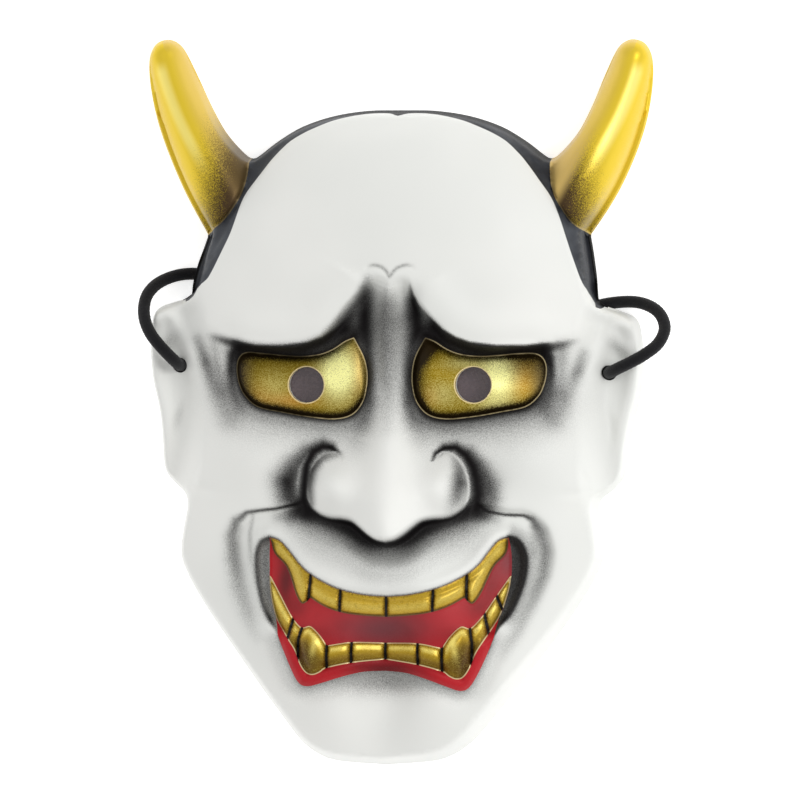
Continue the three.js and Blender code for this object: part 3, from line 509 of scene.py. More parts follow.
# depths in millimetres, and swells and hollows: height, middle x and y, half widths, turn
carving = {
    "face": [(13, 0, -80, 36, 27), (5, 52, -20, 17, 13), (3, 0, -120, 26, 12), (-3.2, 30, -4, 34, 22)],
    "brow": 6, "browSwell": 1.6, "frown": 3.6, "frownSide": 2.2,
    "eyeball": [(3.4, 31, 6.5, 27, 12)], "eyeStep": 0.6, "eyeLine": 1.2, "lid": 1.0,
    "temples": [(-1.6, 60.2, 13, 2.6, 9), (-3.0, 70, 15.5, 3.6, 10, -0.42)],
    "nose": [(11.5, 20, -31.5, 9, 9.5)], "noseCrease": 1.2, "noseFoot": [(-2.2, 37, -29, 7, 7)],
    "fold": 2.8, "foldLine": 0.6, "stripStep": 2.2, "heart": 0.5, "hornLine": 0.8,
    "mouthSink": 3.0, "lipSink": 2.4, "upperRoll": 1.3, "lowerRoll": 1.2, "chinFold": 2.2,
    "tooth": 1.9, "toothCrown": 1.3, "canine": [(1.2, 27.3, -91.5, 3.6, 6.5)], "gap": 1.2, "gapSide": 0.6,
    "earPlate": 16.5, "earRidge": 2.6, "earRim": 1.4,
    "ear": [(-2.6, 83, 18.5, 6.5, 3, -0.75), (-1.8, 81, 8, 5, 8), (-0.9, 80.3, -6.8, 1.6, 5.5, 0.2),
            (-0.8, 72, -27, 1.6, 5, 0.3), (-1, 73, -32.5, 7.5, 1.8, 0.1)],
    "fine": [(30, 10, 34, 24), (18, -34, 24, 26), (24, -78, 34, 32), (50, -60, 14, 30), (6, 44, 12, 14)],
}


def uneven(x, y):
    # from the even drawing to the moulding
    near = step(22, 0, signed(np.abs(x), y, outline))
    across = curveAt(y, middleShift) * (1 - near) + curveAt(y, edgeShift) * near
    up = -shell["earLean"] * x * step(45, 70, np.abs(x)) * step(52, 38, y) * step(-44, -30, y)
    return x + across, y + up


def rimHeight(x, y):
    return np.max([shell["archHeight"] * np.exp(-(np.hypot(x - ax, y - ay) / shell["archReach"]) ** 4)
                   for ax, ay in shell["archPlaces"]], axis=0)


def flangeWidth(ax, y):
    horn = step(-0.12, 0.1, (ax - 75) * 0.6 - (y - 75) * 0.42 + 4)
    return shell["flange"] * step(60, 70, ax) * step(36, 44, y) * horn


def hornSide(ax, y):
    return signed(ax, y, hornFoot, [(110, 62), (110, 140), (56, 140)])


def earForm(ax, y, d, plain):
    k = step(66, 79, ax - 0.1 * np.abs(y - 8)) * step(41, 31, y) * step(-44, -28, y)
    plate = carving["earPlate"] - 0.1 * (ax - 80) - 2.5 * step(-5, -34, y)
    far, at, _ = along(ax, y, earRidge)
    z = plain * (1 - k) + plate * k + carving["earRidge"] * bump(far, 3.2) * step(1, 0.7, at)
    return z + carving["earRim"] * bump(d - 3.4, 2.4) * k * step(-24, -10, y) + hills(ax, y, carving["ear"])


def noseForm(ax, y):
    far, at, _ = along(ax, y, nose)
    n = signed(ax, y, nose, [(0, 20), (34, 20), (24, -14)])
    shut = step(2.4, -2, n) * np.exp(-(far / 9) ** 4) * step(0, 0.12, at)
    body = curveAt(y, noseRise) * bump(ax, curveAt(y, noseWidth)) + hills(ax, y, carving["nose"])
    crease = carving["noseCrease"] * step(0, 0.06, at) * step(0.7, 0.5, at) * np.where(n < 0.8, 1, 0.4)
    return body * (1 - shut) - bump(far, 1.5) * crease + hills(ax, y, carving["noseFoot"])


def leanAt(x, y):
    # the lower lip and its teeth hang a little lower on the right
    return shell["mouthLean"] * x * step(-80, -96, y) * step(-118, -106, y) * step(52, 40, np.abs(x))


def gapDistance(x, y, gaps):
    # the sign changes only at a gap, so that a thin line between two points still shows
    best, side = np.abs(x), np.where(x < 0, -1.0, 1.0)
    for only, line in gaps:
        far, _, hand = along(np.abs(x), y, line)
        here = (only == 0) | (np.where(x < 0, -1, 1) == only)
        best = np.where(here, np.minimum(best, far), best)
        side = np.where(here, side * hand, side)
    return best * side


def mouthForm(x, ax, y):
    y = y + leanAt(x, y)
    m = signed(ax, y, mouth)
    lip = signed(ax, y, lowerLip, [(44, -80), (30, -60), (0, -60)])
    low = step(-84, -90, y)
    z = carving["upperRoll"] * bump(m + 2.4, 2.2) - carving["mouthSink"] * step(-0.4, 2.6, m)
    roll = carving["lowerRoll"] * bump(lip - 1.8, 2) - carving["chinFold"] * bump(lip + 3.4, 3)
    z = (1 - low) * z + low * (roll - carving["lipSink"] * step(3.2, 6, m))
    tooth = np.full(x.shape, -50.0)
    for teeth in (upperTeeth, lowerTeeth):
        t = signed(ax, y, teeth)
        z += carving["tooth"] * step(-0.3, 1.3, t) + carving["toothCrown"] * step(0.8, 3.8, t)
        tooth = np.maximum(tooth, t)
    gap = np.minimum(np.abs(gapDistance(x, y, upperGaps)), np.abs(gapDistance(x, y, lowerGaps)))
    groove = carving["gap"] * bump(gap, 0.7) + carving["gapSide"] * bump(gap, 2)
    return z + hills(ax, y, carving["canine"]) - step(-0.3, 0.8, tooth) * groove


def form(x, y):
    # height of the outer surface: wall, face, brow, eyes, nose, folds, mouth, strip, ears and horns
    ax = np.abs(x)
    d = signed(ax, y, outline)
    foot, flange = rimHeight(x, y), flangeWidth(ax, y)
    dw = d - flange
    wall = np.where(dw > 0, shell["wallRise"] * (1 - np.exp(-np.maximum(dw, 0) / shell["wallRun"]))
                    + shell["wallDraft"] * np.maximum(dw - 1, 0), 3 * dw)
    z = curveAt(y, profile) * np.sqrt(np.maximum(1 - (ax / curveAt(y, halfWidth)) ** 2, 0.004))
    z += hills(ax, y, carving["face"])
    far, at, hand = (np.where(x > 0, b, a) for a, b in zip(along(ax, y, brow), along(ax, y, browRight)))
    above = far * hand
    fade = step(0, 0.1, at) * step(1, 0.75, at)
    z -= fade * carving["brow"] * step(0.8, -3.6, above) * bump(np.maximum(-above - 3, 0), 9)
    z += fade * carving["browSwell"] * bump(above - 6, 7)
    frown = carving["frown"] * bump(ax, 3.4) - carving["frownSide"] * bump(ax - 8.2, 3.4)
    z += step(2, 12, y) * step(47, 38, y) * frown
    e = signed(ax, y, eye)
    z += step(0, 1.5, e) * (hills(ax, y, carving["eyeball"]) - carving["eyeStep"])
    z += carving["lid"] * bump(e + 2.6, 1.8) - carving["eyeLine"] * bump(e, 1.2)
    z += hills(ax, y, carving["temples"]) + noseForm(ax, y)
    far, at, hand = along(ax, y, fold)
    soft = 1.1 + 3 * at
    fade = step(0, 0.05, at) * step(1, 0.7, at)
    z -= fade * (carving["fold"] * step(soft, -soft, far * hand) * bump(far, 8) + carving["foldLine"] * bump(far, soft))
    z += mouthForm(x, ax, y)
    z -= carving["stripStep"] * step(-0.3, 1.2, signed(ax, y, forehead, [(95, 35), (95, 140), (0, 140)]))
    far, at, _ = along(ax, y, heartLine)
    z -= carving["heart"] * bump(far, 0.7) * step(1, 0.8, at)
    z = earForm(ax, y, d, z)
    h = hornSide(ax, y)
    far, at, _ = along(ax, y, hornAxis)
    horn = curveAt(at, hornRise) * np.sqrt(np.maximum(1 - (far / curveAt(at, hornWidth)) ** 2, 0.01))
    k = step(-0.7, 0.9, h)
    z = lower(z * (1 - k) + horn * k - carving["hornLine"] * bump(h, 1.0), wall, 7)
    ledge = shell["flangeHeight"] * step(0, 0.5, d) * flange / shell["flange"]
    z = np.where(flange > 0.05, upper(z, ledge, 0.5), z)
    edge = np.minimum(3 * d, 0.6)
    z = np.maximum(z, edge)
    z = np.where(foot > 0.02, np.maximum(z, foot + edge), z)
    return np.where(d < 0, foot + 3 * d, z)


def innerForm(x, y):
    # the outer surface moved in by the wall
    t = shell["wall"]
    z = form(x, y) - t
    for r, n in ((0.6, 6), (0.9, 8), (1.0, 10)):
        for i in range(n):
            a = 2 * math.pi * (i + r) / n
            z = np.minimum(z, form(x + r * t * math.cos(a), y + r * t * math.sin(a)) - t * math.sqrt(1 - r * r))
    return z


# Flat net of points joined into triangles, then lifted to the two surfaces

def rimPoints(gap):
    length = np.concatenate([[0], np.cumsum(np.hypot(*np.diff(outline, axis=0).T))])
    count = int(length[-1] / gap)
    at = np.linspace(0, length[-1], count + 1)

    def place(s):
        return np.stack([np.interp(s, length, outline[:, k]) for k in (0, 1)], 1)
    spots = place(at)
    way = place(np.clip(at + 1.2, 0, length[-1])) - place(np.clip(at - 1.2, 0, length[-1]))
    way = np.stack([way[:, 1], -way[:, 0]], 1) / np.linalg.norm(way, axis=1, keepdims=True)
    way[0], way[-1] = (0, -1), (0, 1)
    spots[0, 0] = spots[-1, 0] = 0
    return spots, way


def ringAt(spots, way, reach, room):
    p = spots + way * np.reshape(reach, (-1, 1))
    ok = signed(np.abs(p[:, 0]), p[:, 1], outline) > 0.97 * reach
    ok &= p[:, 0] > 0.5 * room
    ok[0] = ok[-1] = True
    out = []
    for q, good in zip(p, ok):
        if good and (not out or min(math.hypot(q[0] - o[0], q[1] - o[1]) for o in out[-12:]) > room):
            out.append(q)
    return np.array(out)


def closeRing(half):
    return np.vstack([half, (half * (-1, 1))[::-1][1:-1]])


def mirrored(points):
    return np.vstack([points, points[points[:, 0] > 0.01] * (-1, 1)])


def circle(cx, cy, r, n):
    a = np.arange(n) * 2 * math.pi / n
    return np.stack([cx + r * np.cos(a), cy + r * np.sin(a)], 1)


def hexGrid(gap):
    rows = []
    for k, v in enumerate(np.arange(-135, 136, gap * 0.8660254)):
        xs = np.arange(0 if k % 2 else gap / 2, 95, gap)
        rows.append(np.stack([xs, np.full(len(xs), v)], 1))
    return np.vstack(rows)


def holeDistance(p):
    ax = np.abs(p[:, 0])
    return np.minimum(*(np.hypot(ax - cx, p[:, 1] - cy) - r for cx, cy, r, _ in holes))


def holeRings():
    return [circle(side * cx, cy, r, n) for cx, cy, r, n in holes for side in (-1, 1)]


def net(loop, holes, others):
    # triangles between the loop and the holes
    points = np.vstack([loop] + holes + [others])
    edges, start = [], 0
    for ring in [loop] + holes:
        n = len(ring)
        edges += [(start + i, start + (i + 1) % n) for i in range(n)]
        start += n
    out = geometry.delaunay_2d_cdt([Vector(p) for p in points.tolist()], edges, [], 0, 1e-7)
    spots = np.array([tuple(v) for v in out[0]])
    faces = np.array(out[2])
    middle = spots[faces].mean(1)
    keep = inside(middle[:, 0], middle[:, 1], loop) & (holeDistance(middle) > -0.02)
    faces = faces[keep]
    a, b, c = (spots[faces[:, k]] for k in range(3))
    turn = (b[:, 0] - a[:, 0]) * (c[:, 1] - a[:, 1]) - (b[:, 1] - a[:, 1]) * (c[:, 0] - a[:, 0])
    faces[turn < 0] = faces[turn < 0][:, ::-1]
    where = {}
    for new, old in enumerate(out[3]):
        for o in old:
            where[o] = new
    return spots, faces, where


def zipper(ringA, ringB, namesA, namesB):
    # strip of triangles between two loops that run the same way
    m, n, i, j, faces = len(ringA), len(ringB), 0, 0, []
    while i < m or j < n:
        a, b, nextA, nextB = i % m, j % n, (i + 1) % m, (j + 1) % n
        toA = np.hypot(*(ringA[nextA] - ringB[b])) if i < m else 1e9
        toB = np.hypot(*(ringA[a] - ringB[nextB])) if j < n else 1e9
        if toA <= toB:
            faces.append((namesA[a], namesA[nextA], namesB[b]))
            i += 1
        else:
            faces.append((namesA[a], namesB[nextB], namesB[b]))
            j += 1
    return faces


def outerNet():
    spots, way = rimPoints(shell["rimGap"])
    rings = [ringAt(spots, way, np.full(len(spots), reach), 0.35 if reach < 0.5 else 0.6)
             for reach in shell["rimRings"]]
    flange = flangeWidth(spots[:, 0], spots[:, 1])
    for reach in shell["flangeRings"]:
        part = ringAt(spots, way, flange + reach, 0.6)
        rings.append(part[flangeWidth(part[:, 0], part[:, 1]) > 1])
    kept = {}  # one point in each small square
    for p in np.vstack(rings):
        kept.setdefault((round(p[0] / shell["crowd"]), round(p[1] / shell["crowd"])), p)
    around = [circle(cx, cy, r + more, n) for cx, cy, r, n in holes for more in (0.35, 0.8)]
    fills = []
    for gap, fine in ((shell["fineGap"], True), (shell["plainGap"], False)):
        grid = hexGrid(gap)
        detail = np.maximum.reduce([hill(*grid.T, *place) for place in carving["fine"]]) > 0.32
        grid = grid[detail == fine]
        clear = (signed(*grid.T, outline) > 2.9 + 0.5 * gap) & (holeDistance(grid) > 0.8 + 0.5 * gap)
        fills.append(grid[clear])
    others = mirrored(np.vstack([np.array(list(kept.values()))] + around + fills))
    loop = closeRing(spots)
    return loop, net(loop, holeRings(), others)


def innerNet():
    spots, way = rimPoints(1.7)
    base = shell["wall"] + flangeWidth(spots[:, 0], spots[:, 1])
    loop = closeRing(ringAt(spots, way, base, 0.8))
    rings = [ringAt(spots, way, base + more, 0.8) for more in (0.3, 0.8, 1.6, 2.8)]
    grid = hexGrid(shell["innerGap"])
    clear = (signed(*grid.T, outline) > base.max() + 1.5) & (holeDistance(grid) > 1.2)
    px, py, r, _ = shell["pupil"]
    seat = shell["seat"]
    around = [circle(px, py, v, 48) for v in (r + 1.5, seat, seat + 1.5, seat + 3)]
    away = np.abs(np.hypot(grid[:, 0] - px, grid[:, 1] - py) - seat - 0.5) > 3.6
    others = mirrored(np.vstack(rings + around + [grid[clear & away]]))
    return loop, net(loop, holeRings(), others)


paint = {
    # airbrush strokes, each a run of dabs: x, y, half width in millimetres, strength
    "underBrow": [
        [(8.4, 43.5, 0.9, 0.5), (8.8, 38, 2.8, 0.95), (9.6, 32, 4.6, 1), (10.5, 26, 5, 0.97), (8, 18, 3.2, 0.82),
         (7.2, 8, 2.7, 0.8), (7.6, 0, 3, 0.78), (8.8, -6, 3.6, 0.55), (10, -12, 4, 0.15)],
        [(16, 26.5, 3.4, 0.9), (21, 22.6, 2.6, 0.82), (30, 19.6, 2.3, 0.78), (40, 18.8, 2.1, 0.78),
         (50, 19, 2, 0.8), (58, 20.4, 1.9, 0.84), (64, 22.4, 1.4, 0.5), (69, 24, 1.2, 0.08)],
        [(-8.5, 45, 2.4, 0.3), (-9, 39, 3.4, 0.8), (-9.4, 33, 4.2, 1), (-9.4, 27, 4.6, 1), (-8, 19, 3.2, 0.85),
         (-7.1, 9, 2.7, 0.78), (-7.6, 0, 3.2, 0.74), (-9.4, -7, 4, 0.5), (-11, -13, 5, 0.12)],
        [(-11, 40, 3.4, 0.3), (-14.4, 33, 4.4, 0.72), (-18, 27.5, 3.8, 0.84), (-24, 22.6, 2.6, 0.8),
         (-33, 19.8, 2.2, 0.76), (-45, 19.6, 2.2, 0.76), (-56, 20.6, 2.1, 0.8), (-62, 22, 1.6, 0.7),
         (-68, 23.6, 1.2, 0.1)],
        [(-0.6, 43, 2.4, 0.08), (-0.6, 36, 4.6, 0.5), (-0.6, 30, 5.6, 0.6), (-0.6, 20, 5.6, 0.54),
         (-0.6, 10, 5.2, 0.4),
         (-0.6, 0, 5, 0.24), (-0.6, -9, 4, 0.1)],
    ],
    "roundEye": [
        [(57, 19.6, 2.2, 0.9), (58.9, 17, 2.2, 0.92), (59.3, 11, 2.1, 0.86), (58.6, 5, 2.3, 0.65),
         (56.5, -1, 3.2, 0.4)],
        [(-57, 20, 2.2, 0.9), (-59.2, 17, 2.4, 0.92), (-59.6, 11, 2.4, 0.9), (-58.8, 5, 2.5, 0.66),
         (-56.5, -1, 3.2, 0.34)],
        [(71, 19, 2.2, 0.22), (68.7, 12.5, 2.4, 0.46), (66.5, 7, 2.6, 0.25), (63.5, 0, 3.6, 0.22),
         (60, -5, 4.6, 0.3)],
        [(64, 21, 2.6, 0.24), (63.6, 12, 2.2, 0.26), (62, 4, 3, 0.3)],
        [(-72.6, 22, 2.2, 0.25), (-69.4, 13.5, 2.6, 0.58), (-67, 7, 2.8, 0.42), (-64, 0, 3.6, 0.28),
         (-60, -6, 5, 0.26)],
        [(-66, 21, 2.2, 0.2), (-64.6, 12, 2.2, 0.32), (-62.4, 3, 3, 0.3)],
    ],
    "outNose": [
        [(16.2, -22, 0.6, 0.4), (17.4, -19, 1, 0.95), (20.4, -17, 1.7, 1), (24.5, -16.8, 2, 1), (28.4, -19.6, 2.6, 1),
         (31.2, -24, 3.2, 1), (32.6, -29, 3.8, 1), (33.4, -34, 4, 1), (32.4, -39.4, 3.6, 1)],
        [(30, -19, 2.6, 0.35), (34.6, -25, 3.6, 0.5), (37.4, -31, 4, 0.6), (38.4, -36, 3.4, 0.5), (36, -41, 3, 0.4)],
        [(-18.2, -22.6, 0.6, 0.4), (-19.2, -19.2, 1, 0.95), (-21.5, -16.8, 1.8, 1), (-24.8, -16.4, 2, 1),
         (-28.2, -18.4, 2.2, 1), (-30.6, -23, 2.2, 1), (-31.2, -29, 2.1, 1), (-31.4, -36, 2.3, 1),
         (-30.4, -41, 2.8, 1)],
        [(-25, -15.4, 2.4, 0.4), (-31, -18.6, 3.2, 0.6), (-35, -24, 4.6, 0.72), (-37.6, -29.5, 5.2, 0.95),
         (-36.8, -34.5, 4.9, 0.84), (-33, -38.6, 3, 0.7), (-36, -43, 3, 0.3)],
    ],
    "inNose": [
        [(24, -20.5, 1.4, 0.2), (26.4, -25, 2.5, 0.55), (27, -30, 3, 0.76), (26, -35, 2.9, 0.5),
         (24, -39.5, 2.6, 0.16)],
        [(-20, -19.5, 1.4, 0.3), (-25, -20.5, 2, 0.5), (-28.6, -25, 2.4, 0.72), (-29.4, -31, 2.2, 0.66),
         (-28.4, -37, 1.8, 0.4)],
    ],
    # painted highlight: a thin lighter line down the left side of the nose
    "noseLight": [(-30.4, -19.4, 0.6, 0.3), (-33, -24.4, 0.7, 1), (-33.9, -30, 0.7, 1), (-33.8, -34, 0.6, 0.2)],
    "folds": [
        [(33, -38.4, 0.8, 0.9), (37, -40.5, 0.62, 0.95), (43, -41.7, 0.56, 0.9), (50, -42, 0.6, 0.85),
         (53, -43.4, 1.2, 0.62),
         (55.8, -48, 2.2, 0.5), (57.2, -55, 2.5, 0.48), (56.4, -64, 2.6, 0.42), (53.4, -74, 2.6, 0.3),
         (49, -84, 2.6, 0.22),
         (44, -93, 2.6, 0.06)],
        [(-31, -36.4, 0.8, 0.9), (-36, -38.2, 0.62, 0.95), (-42, -39.5, 0.56, 0.9), (-48, -40.1, 0.56, 0.8),
         (-53, -40.9, 0.8, 0.6), (-57, -44.2, 1.8, 0.5), (-58.8, -50, 2.4, 0.47), (-58.6, -58, 2.7, 0.44),
         (-56.4, -68, 3, 0.28), (-52, -78, 3, 0.2), (-48, -87, 2.6, 0.05)],
        [(-50.6, -41.5, 0.8, 0.12), (-52, -49, 0.9, 0.2), (-51.8, -58, 1.2, 0.14), (-49.5, -68, 1.4, 0.04)],
        [(34, -41, 2.4, 0.5), (40, -43.4, 2.2, 0.16)], [(-34, -40.4, 2.6, 0.55), (-41, -42.6, 2.4, 0.2)],
        [(53.5, -46, 1.6, 0.2), (53, -56, 1.6, 0.12)],
    ],
    "browEdge": [(6.9, 46), (9, 40), (11.4, 35.8), (14.8, 32), (20, 27), (25, 24), (30, 22.3), (40, 21.1), (50, 21.1),
                 (60, 22.8), (72, 26)],
    "lipLift": [(-8, 0.6), (0, 0), (8, 0.6), (15, 4.5), (25, 8.5), (34, 11), (44, 13)],  # x, start of the shadow
    "underNose": [(30, 1), (47, 1), (50, 0.97), (53, 0.86), (55, 0.59), (57, 0.41), (60, 0.23), (65, 0.09), (72, 0),
                  (80, 0)],  # drop from there, strength
    "underEye": (0.98, 0.68), "mouthSide": (0.8, 0.48), "mouthLip": (0.34, 0.06),  # right, left
    "browBand": 0.82, "eyeRim": 0.8, "noseLine": 0.9, "noseGlint": 0.35,
    "mouthRim": 0.5, "mouthLine": 0.85, "underLip": 0.42, "heart": 0.28, "stripMore": 1.9,
    # soft spots: strength, middle x and y, half widths, turn
    "eyeCorner": [(0.9, 13.2, 25, 4.5, 4)], "chin": [(0.34, 0, -103.5, 19, 4.5)],
    "earFold": [(0.16, 84.5, 20.5, 5.5, 2, -0.8)], "earPit": [(0.1, -80.5, -7, 1.5, 5, -0.2)],
    "redDull": [(1, -1, -84, 18, 9), (0.75, 44, -59, 5, 9)],
    # painted shade in the red's corners and along its bottom, here and on the next line
    "redDark": [(0.8, -38.5, -66, 3.6, 11), (0.45, 37.5, -67, 4, 10), (0.75, 0, -98.5, 15, 3)],
    "redDarkBoth": [(0.4, 33, -76, 4, 4), (0.3, 27, -86, 8, 3)],
    # gold eyes: painted highlight, warm tone, painted shade, a painted highlight that lifts the shade, and a gap in the
    # outline
    "eyeLight": [(1.4, -19, 11, 6.5, 9), (1.15, 40, 10, 6, 9), (0.22, -43, 6, 7, 6), (0.3, 20, 3, 6, 5),
                 (0.35, 28, 14.5, 8, 2.5), (0.25, 37, -0.5, 8, 3)],
    "eyeWarm": [(1, -37, 0.5, 10, 3), (0.9, -11.5, 12, 3, 9), (0.65, 49, 9, 5, 9), (0.5, 15, 2, 4, 4),
                (0.5, -49, 2, 5, 5)],
    "eyeShade": [(0.4, -42, 17.5, 16, 4), (0.6, 50, 16, 8, 5), (1.7, 12.5, 21, 5, 6)],
    "eyeShine": [(0.75, -12, 14, 5, 9)], "eyeLineGap": [(0.3, 12.5, 23, 4, 4)],
    # canine: painted highlight and painted shade
    "canineLight": [(0.7, 25.8, -90, 1.3, 4.5, 0.2)], "canineShade": [(0.3, 30, -96, 4, 6)],
    "blackest": 0.14, "gamma": 2.2,
}


def stroke(x, y, dabs):
    d = np.array(dabs, float)
    run = np.concatenate([[0], np.cumsum(np.hypot(*np.diff(d[:, :2], axis=0).T))])
    far, at, _ = along(x, y, d[:, :2])
    at = at * run[-1]
    return np.interp(at, run, d[:, 3]) * bump(far, np.interp(at, run, d[:, 2]))


def sootAt(x, y):
    # airbrushed black over the white, 0 bare to 1 black
    ax = np.abs(x)
    right = x > 0
    s = np.zeros(x.shape)

    def over(extra, strokes=()):
        nonlocal s
        for dab in [stroke(x, y, dabs) for dabs in strokes] or [1.0]:
            s = 1 - (1 - s) * (1 - share(extra * dab))

    def side(values):
        return np.where(right, *values)
    # under the brows, with a crisp edge on the right, and round the eyes
    far, at, hand = along(ax, y, paint["browEdge"])
    above = np.where(ax < 6, -far, far * hand)
    e = signed(ax, y, eye)
    out = np.maximum(-e, 0)
    crisp = step(0.6, -0.5, above)
    over(np.where(right, crisp, step(3.2, -1.2, above - 1.6 * step(30, 18, ax))), paint["underBrow"])
    over(paint["browBand"] * crisp * step(12, 17, ax) * step(61, 57, ax) * step(13, 15, y))
    over(1.0, paint["roundEye"])
    over(paint["eyeRim"] * bump(out, 0.9) * (e < 1))
    over(hills(ax, y, paint["eyeCorner"]))
    over(side(paint["underEye"]) * np.exp(-out / 5.3) * step(13, -2, y) * step(6, 13, ax))
    # round and under the nose
    n = signed(ax, y, nose, [(-5, -52), (-5, -22.1)])
    far, at, _ = along(ax, y, nose)
    over(step(0.3, -0.3, n), paint["outNose"])
    over(side((step(0.3, 1.0, n), step(-0.4, 0.1, n))), paint["inNose"])
    below = step(0.4, 0.5, at) * step(0.3, -0.3, n) * step(42, 28, ax)
    over(below * curveAt(curveAt(ax, paint["lipLift"]) - y, paint["underNose"]))
    over(paint["noseLine"] * step(0.44, 0.54, at) * bump(far, 0.75))
    # painted highlight: less soot along a thin line on the left side of the nose
    s = s * (1 - paint["noseGlint"] * stroke(x, y, paint["noseLight"]))
    over(1.0, paint["folds"])
    # beside and round the mouth
    yl = y + leanAt(x, y)
    m = signed(ax, yl, mouth) + np.where(right, 1.1, 0.5) * step(42, 46, ax)
    clear = signed(ax, yl, redEdge) < 1
    over(side(paint["mouthSide"]) * step(-0.5, 0.4, m) * clear * (ax > 38))
    over(side(paint["mouthLip"]) * step(-6, 0.3, m) * step(-88, -78, y) * step(43, 47, ax))
    over(paint["mouthRim"] * bump(m - 0.4, 1.0) * clear * step(40, 44, ax) * step(-86, -80, y))
    over(paint["mouthLine"] * bump(signed(ax, y, mouth) - 0.15, 0.62) * step(-84, -80, y) * step(46, 43, ax))
    lip = signed(ax, yl, lowerLip, [(44, -80), (30, -60), (-5, -60), (-5, -99)])
    over(paint["underLip"] * np.exp(-np.maximum(-lip, 0) / 2) * step(-82, -90, y))
    over(hills(x, y, paint["chin"]))
    # thin heart line and ear pits
    far, at, _ = along(ax, y, heartLine)
    over(paint["heart"] * bump(far, 0.6) * step(0.9, 0.6, at))
    over(hills(ax, y, paint["earFold"]) + hills(x, y, paint["earPit"]))
    # even steps to the eye, as a share of linear light
    dark, gamma = paint["blackest"], paint["gamma"]
    return (1 - (1 - (1 - dark) * s) ** gamma) / (1 - dark ** gamma)


def eyePaint(x, y):
    # painted highlight, warm tone and painted grey reflection of the gold balls, their painted shade, and how strong
    # their outline is
    e = signed(np.abs(x), y, eye)
    # painted reflection: greyer toward the outer end of each ball
    grey = 0.8 * (step(-49, -56, x) + step(49, 56, x))
    # painted shade: darker toward the edges, along the top and lower rim, at the inner corner of the right ball and the
    # outer end of the left one; a painted highlight lifts it on the inner side of the left ball
    shade = 0.95 * np.exp(-(np.maximum(e, 0) / 2.3) ** 1.4) + hills(x, y, paint["eyeShade"])
    shade += 0.7 * step(17, 9, x) * (x > 0) + 0.6 * step(4.4, 0.5, e) * step(5, -2, y) + 0.45 * step(-44, -57, x)
    shade *= 1 - hills(x, y, paint["eyeShine"])
    line = np.where(x < 0, 0.1 + 0.42 * step(-34, -22, x), 0.36 - hills(x, y, paint["eyeLineGap"]))
    light, warm = hills(x, y, paint["eyeLight"]), hills(x, y, paint["eyeWarm"])
    return {"eyeLight": light, "eyeWarm": warm, "eyeGreyReflection": share(grey), "eyeShade": np.clip(shade, 0, 1.5),
            "eyeLine": line}


def toothPaint(x, y):
    # lower teeth: a pale band of painted highlight and a dark root of painted shade; upper teeth: a weak painted shine
    # and a darker bite edge
    ax = np.abs(x)
    low = signed(ax, y, lowerTeeth) > signed(ax, y, upperTeeth)
    far, above = along(ax, y, lowerBite)[0], along(ax, y, upperBite)[0]
    light = np.where(low, 0.75 * bump(far - 1.9, 0.9) + hills(ax, y, paint["canineLight"]), 0.35 * bump(above - 3, 1.5))
    dark = np.where(low, 0.1 + 0.62 * step(2.6, 6.5, far) + hills(ax, y, paint["canineShade"]),
                    0.9 * step(1.1, 0.3, above) + 0.15 * step(26, 34, ax))
    return {"toothLight": share(light), "toothDark": share(dark)}


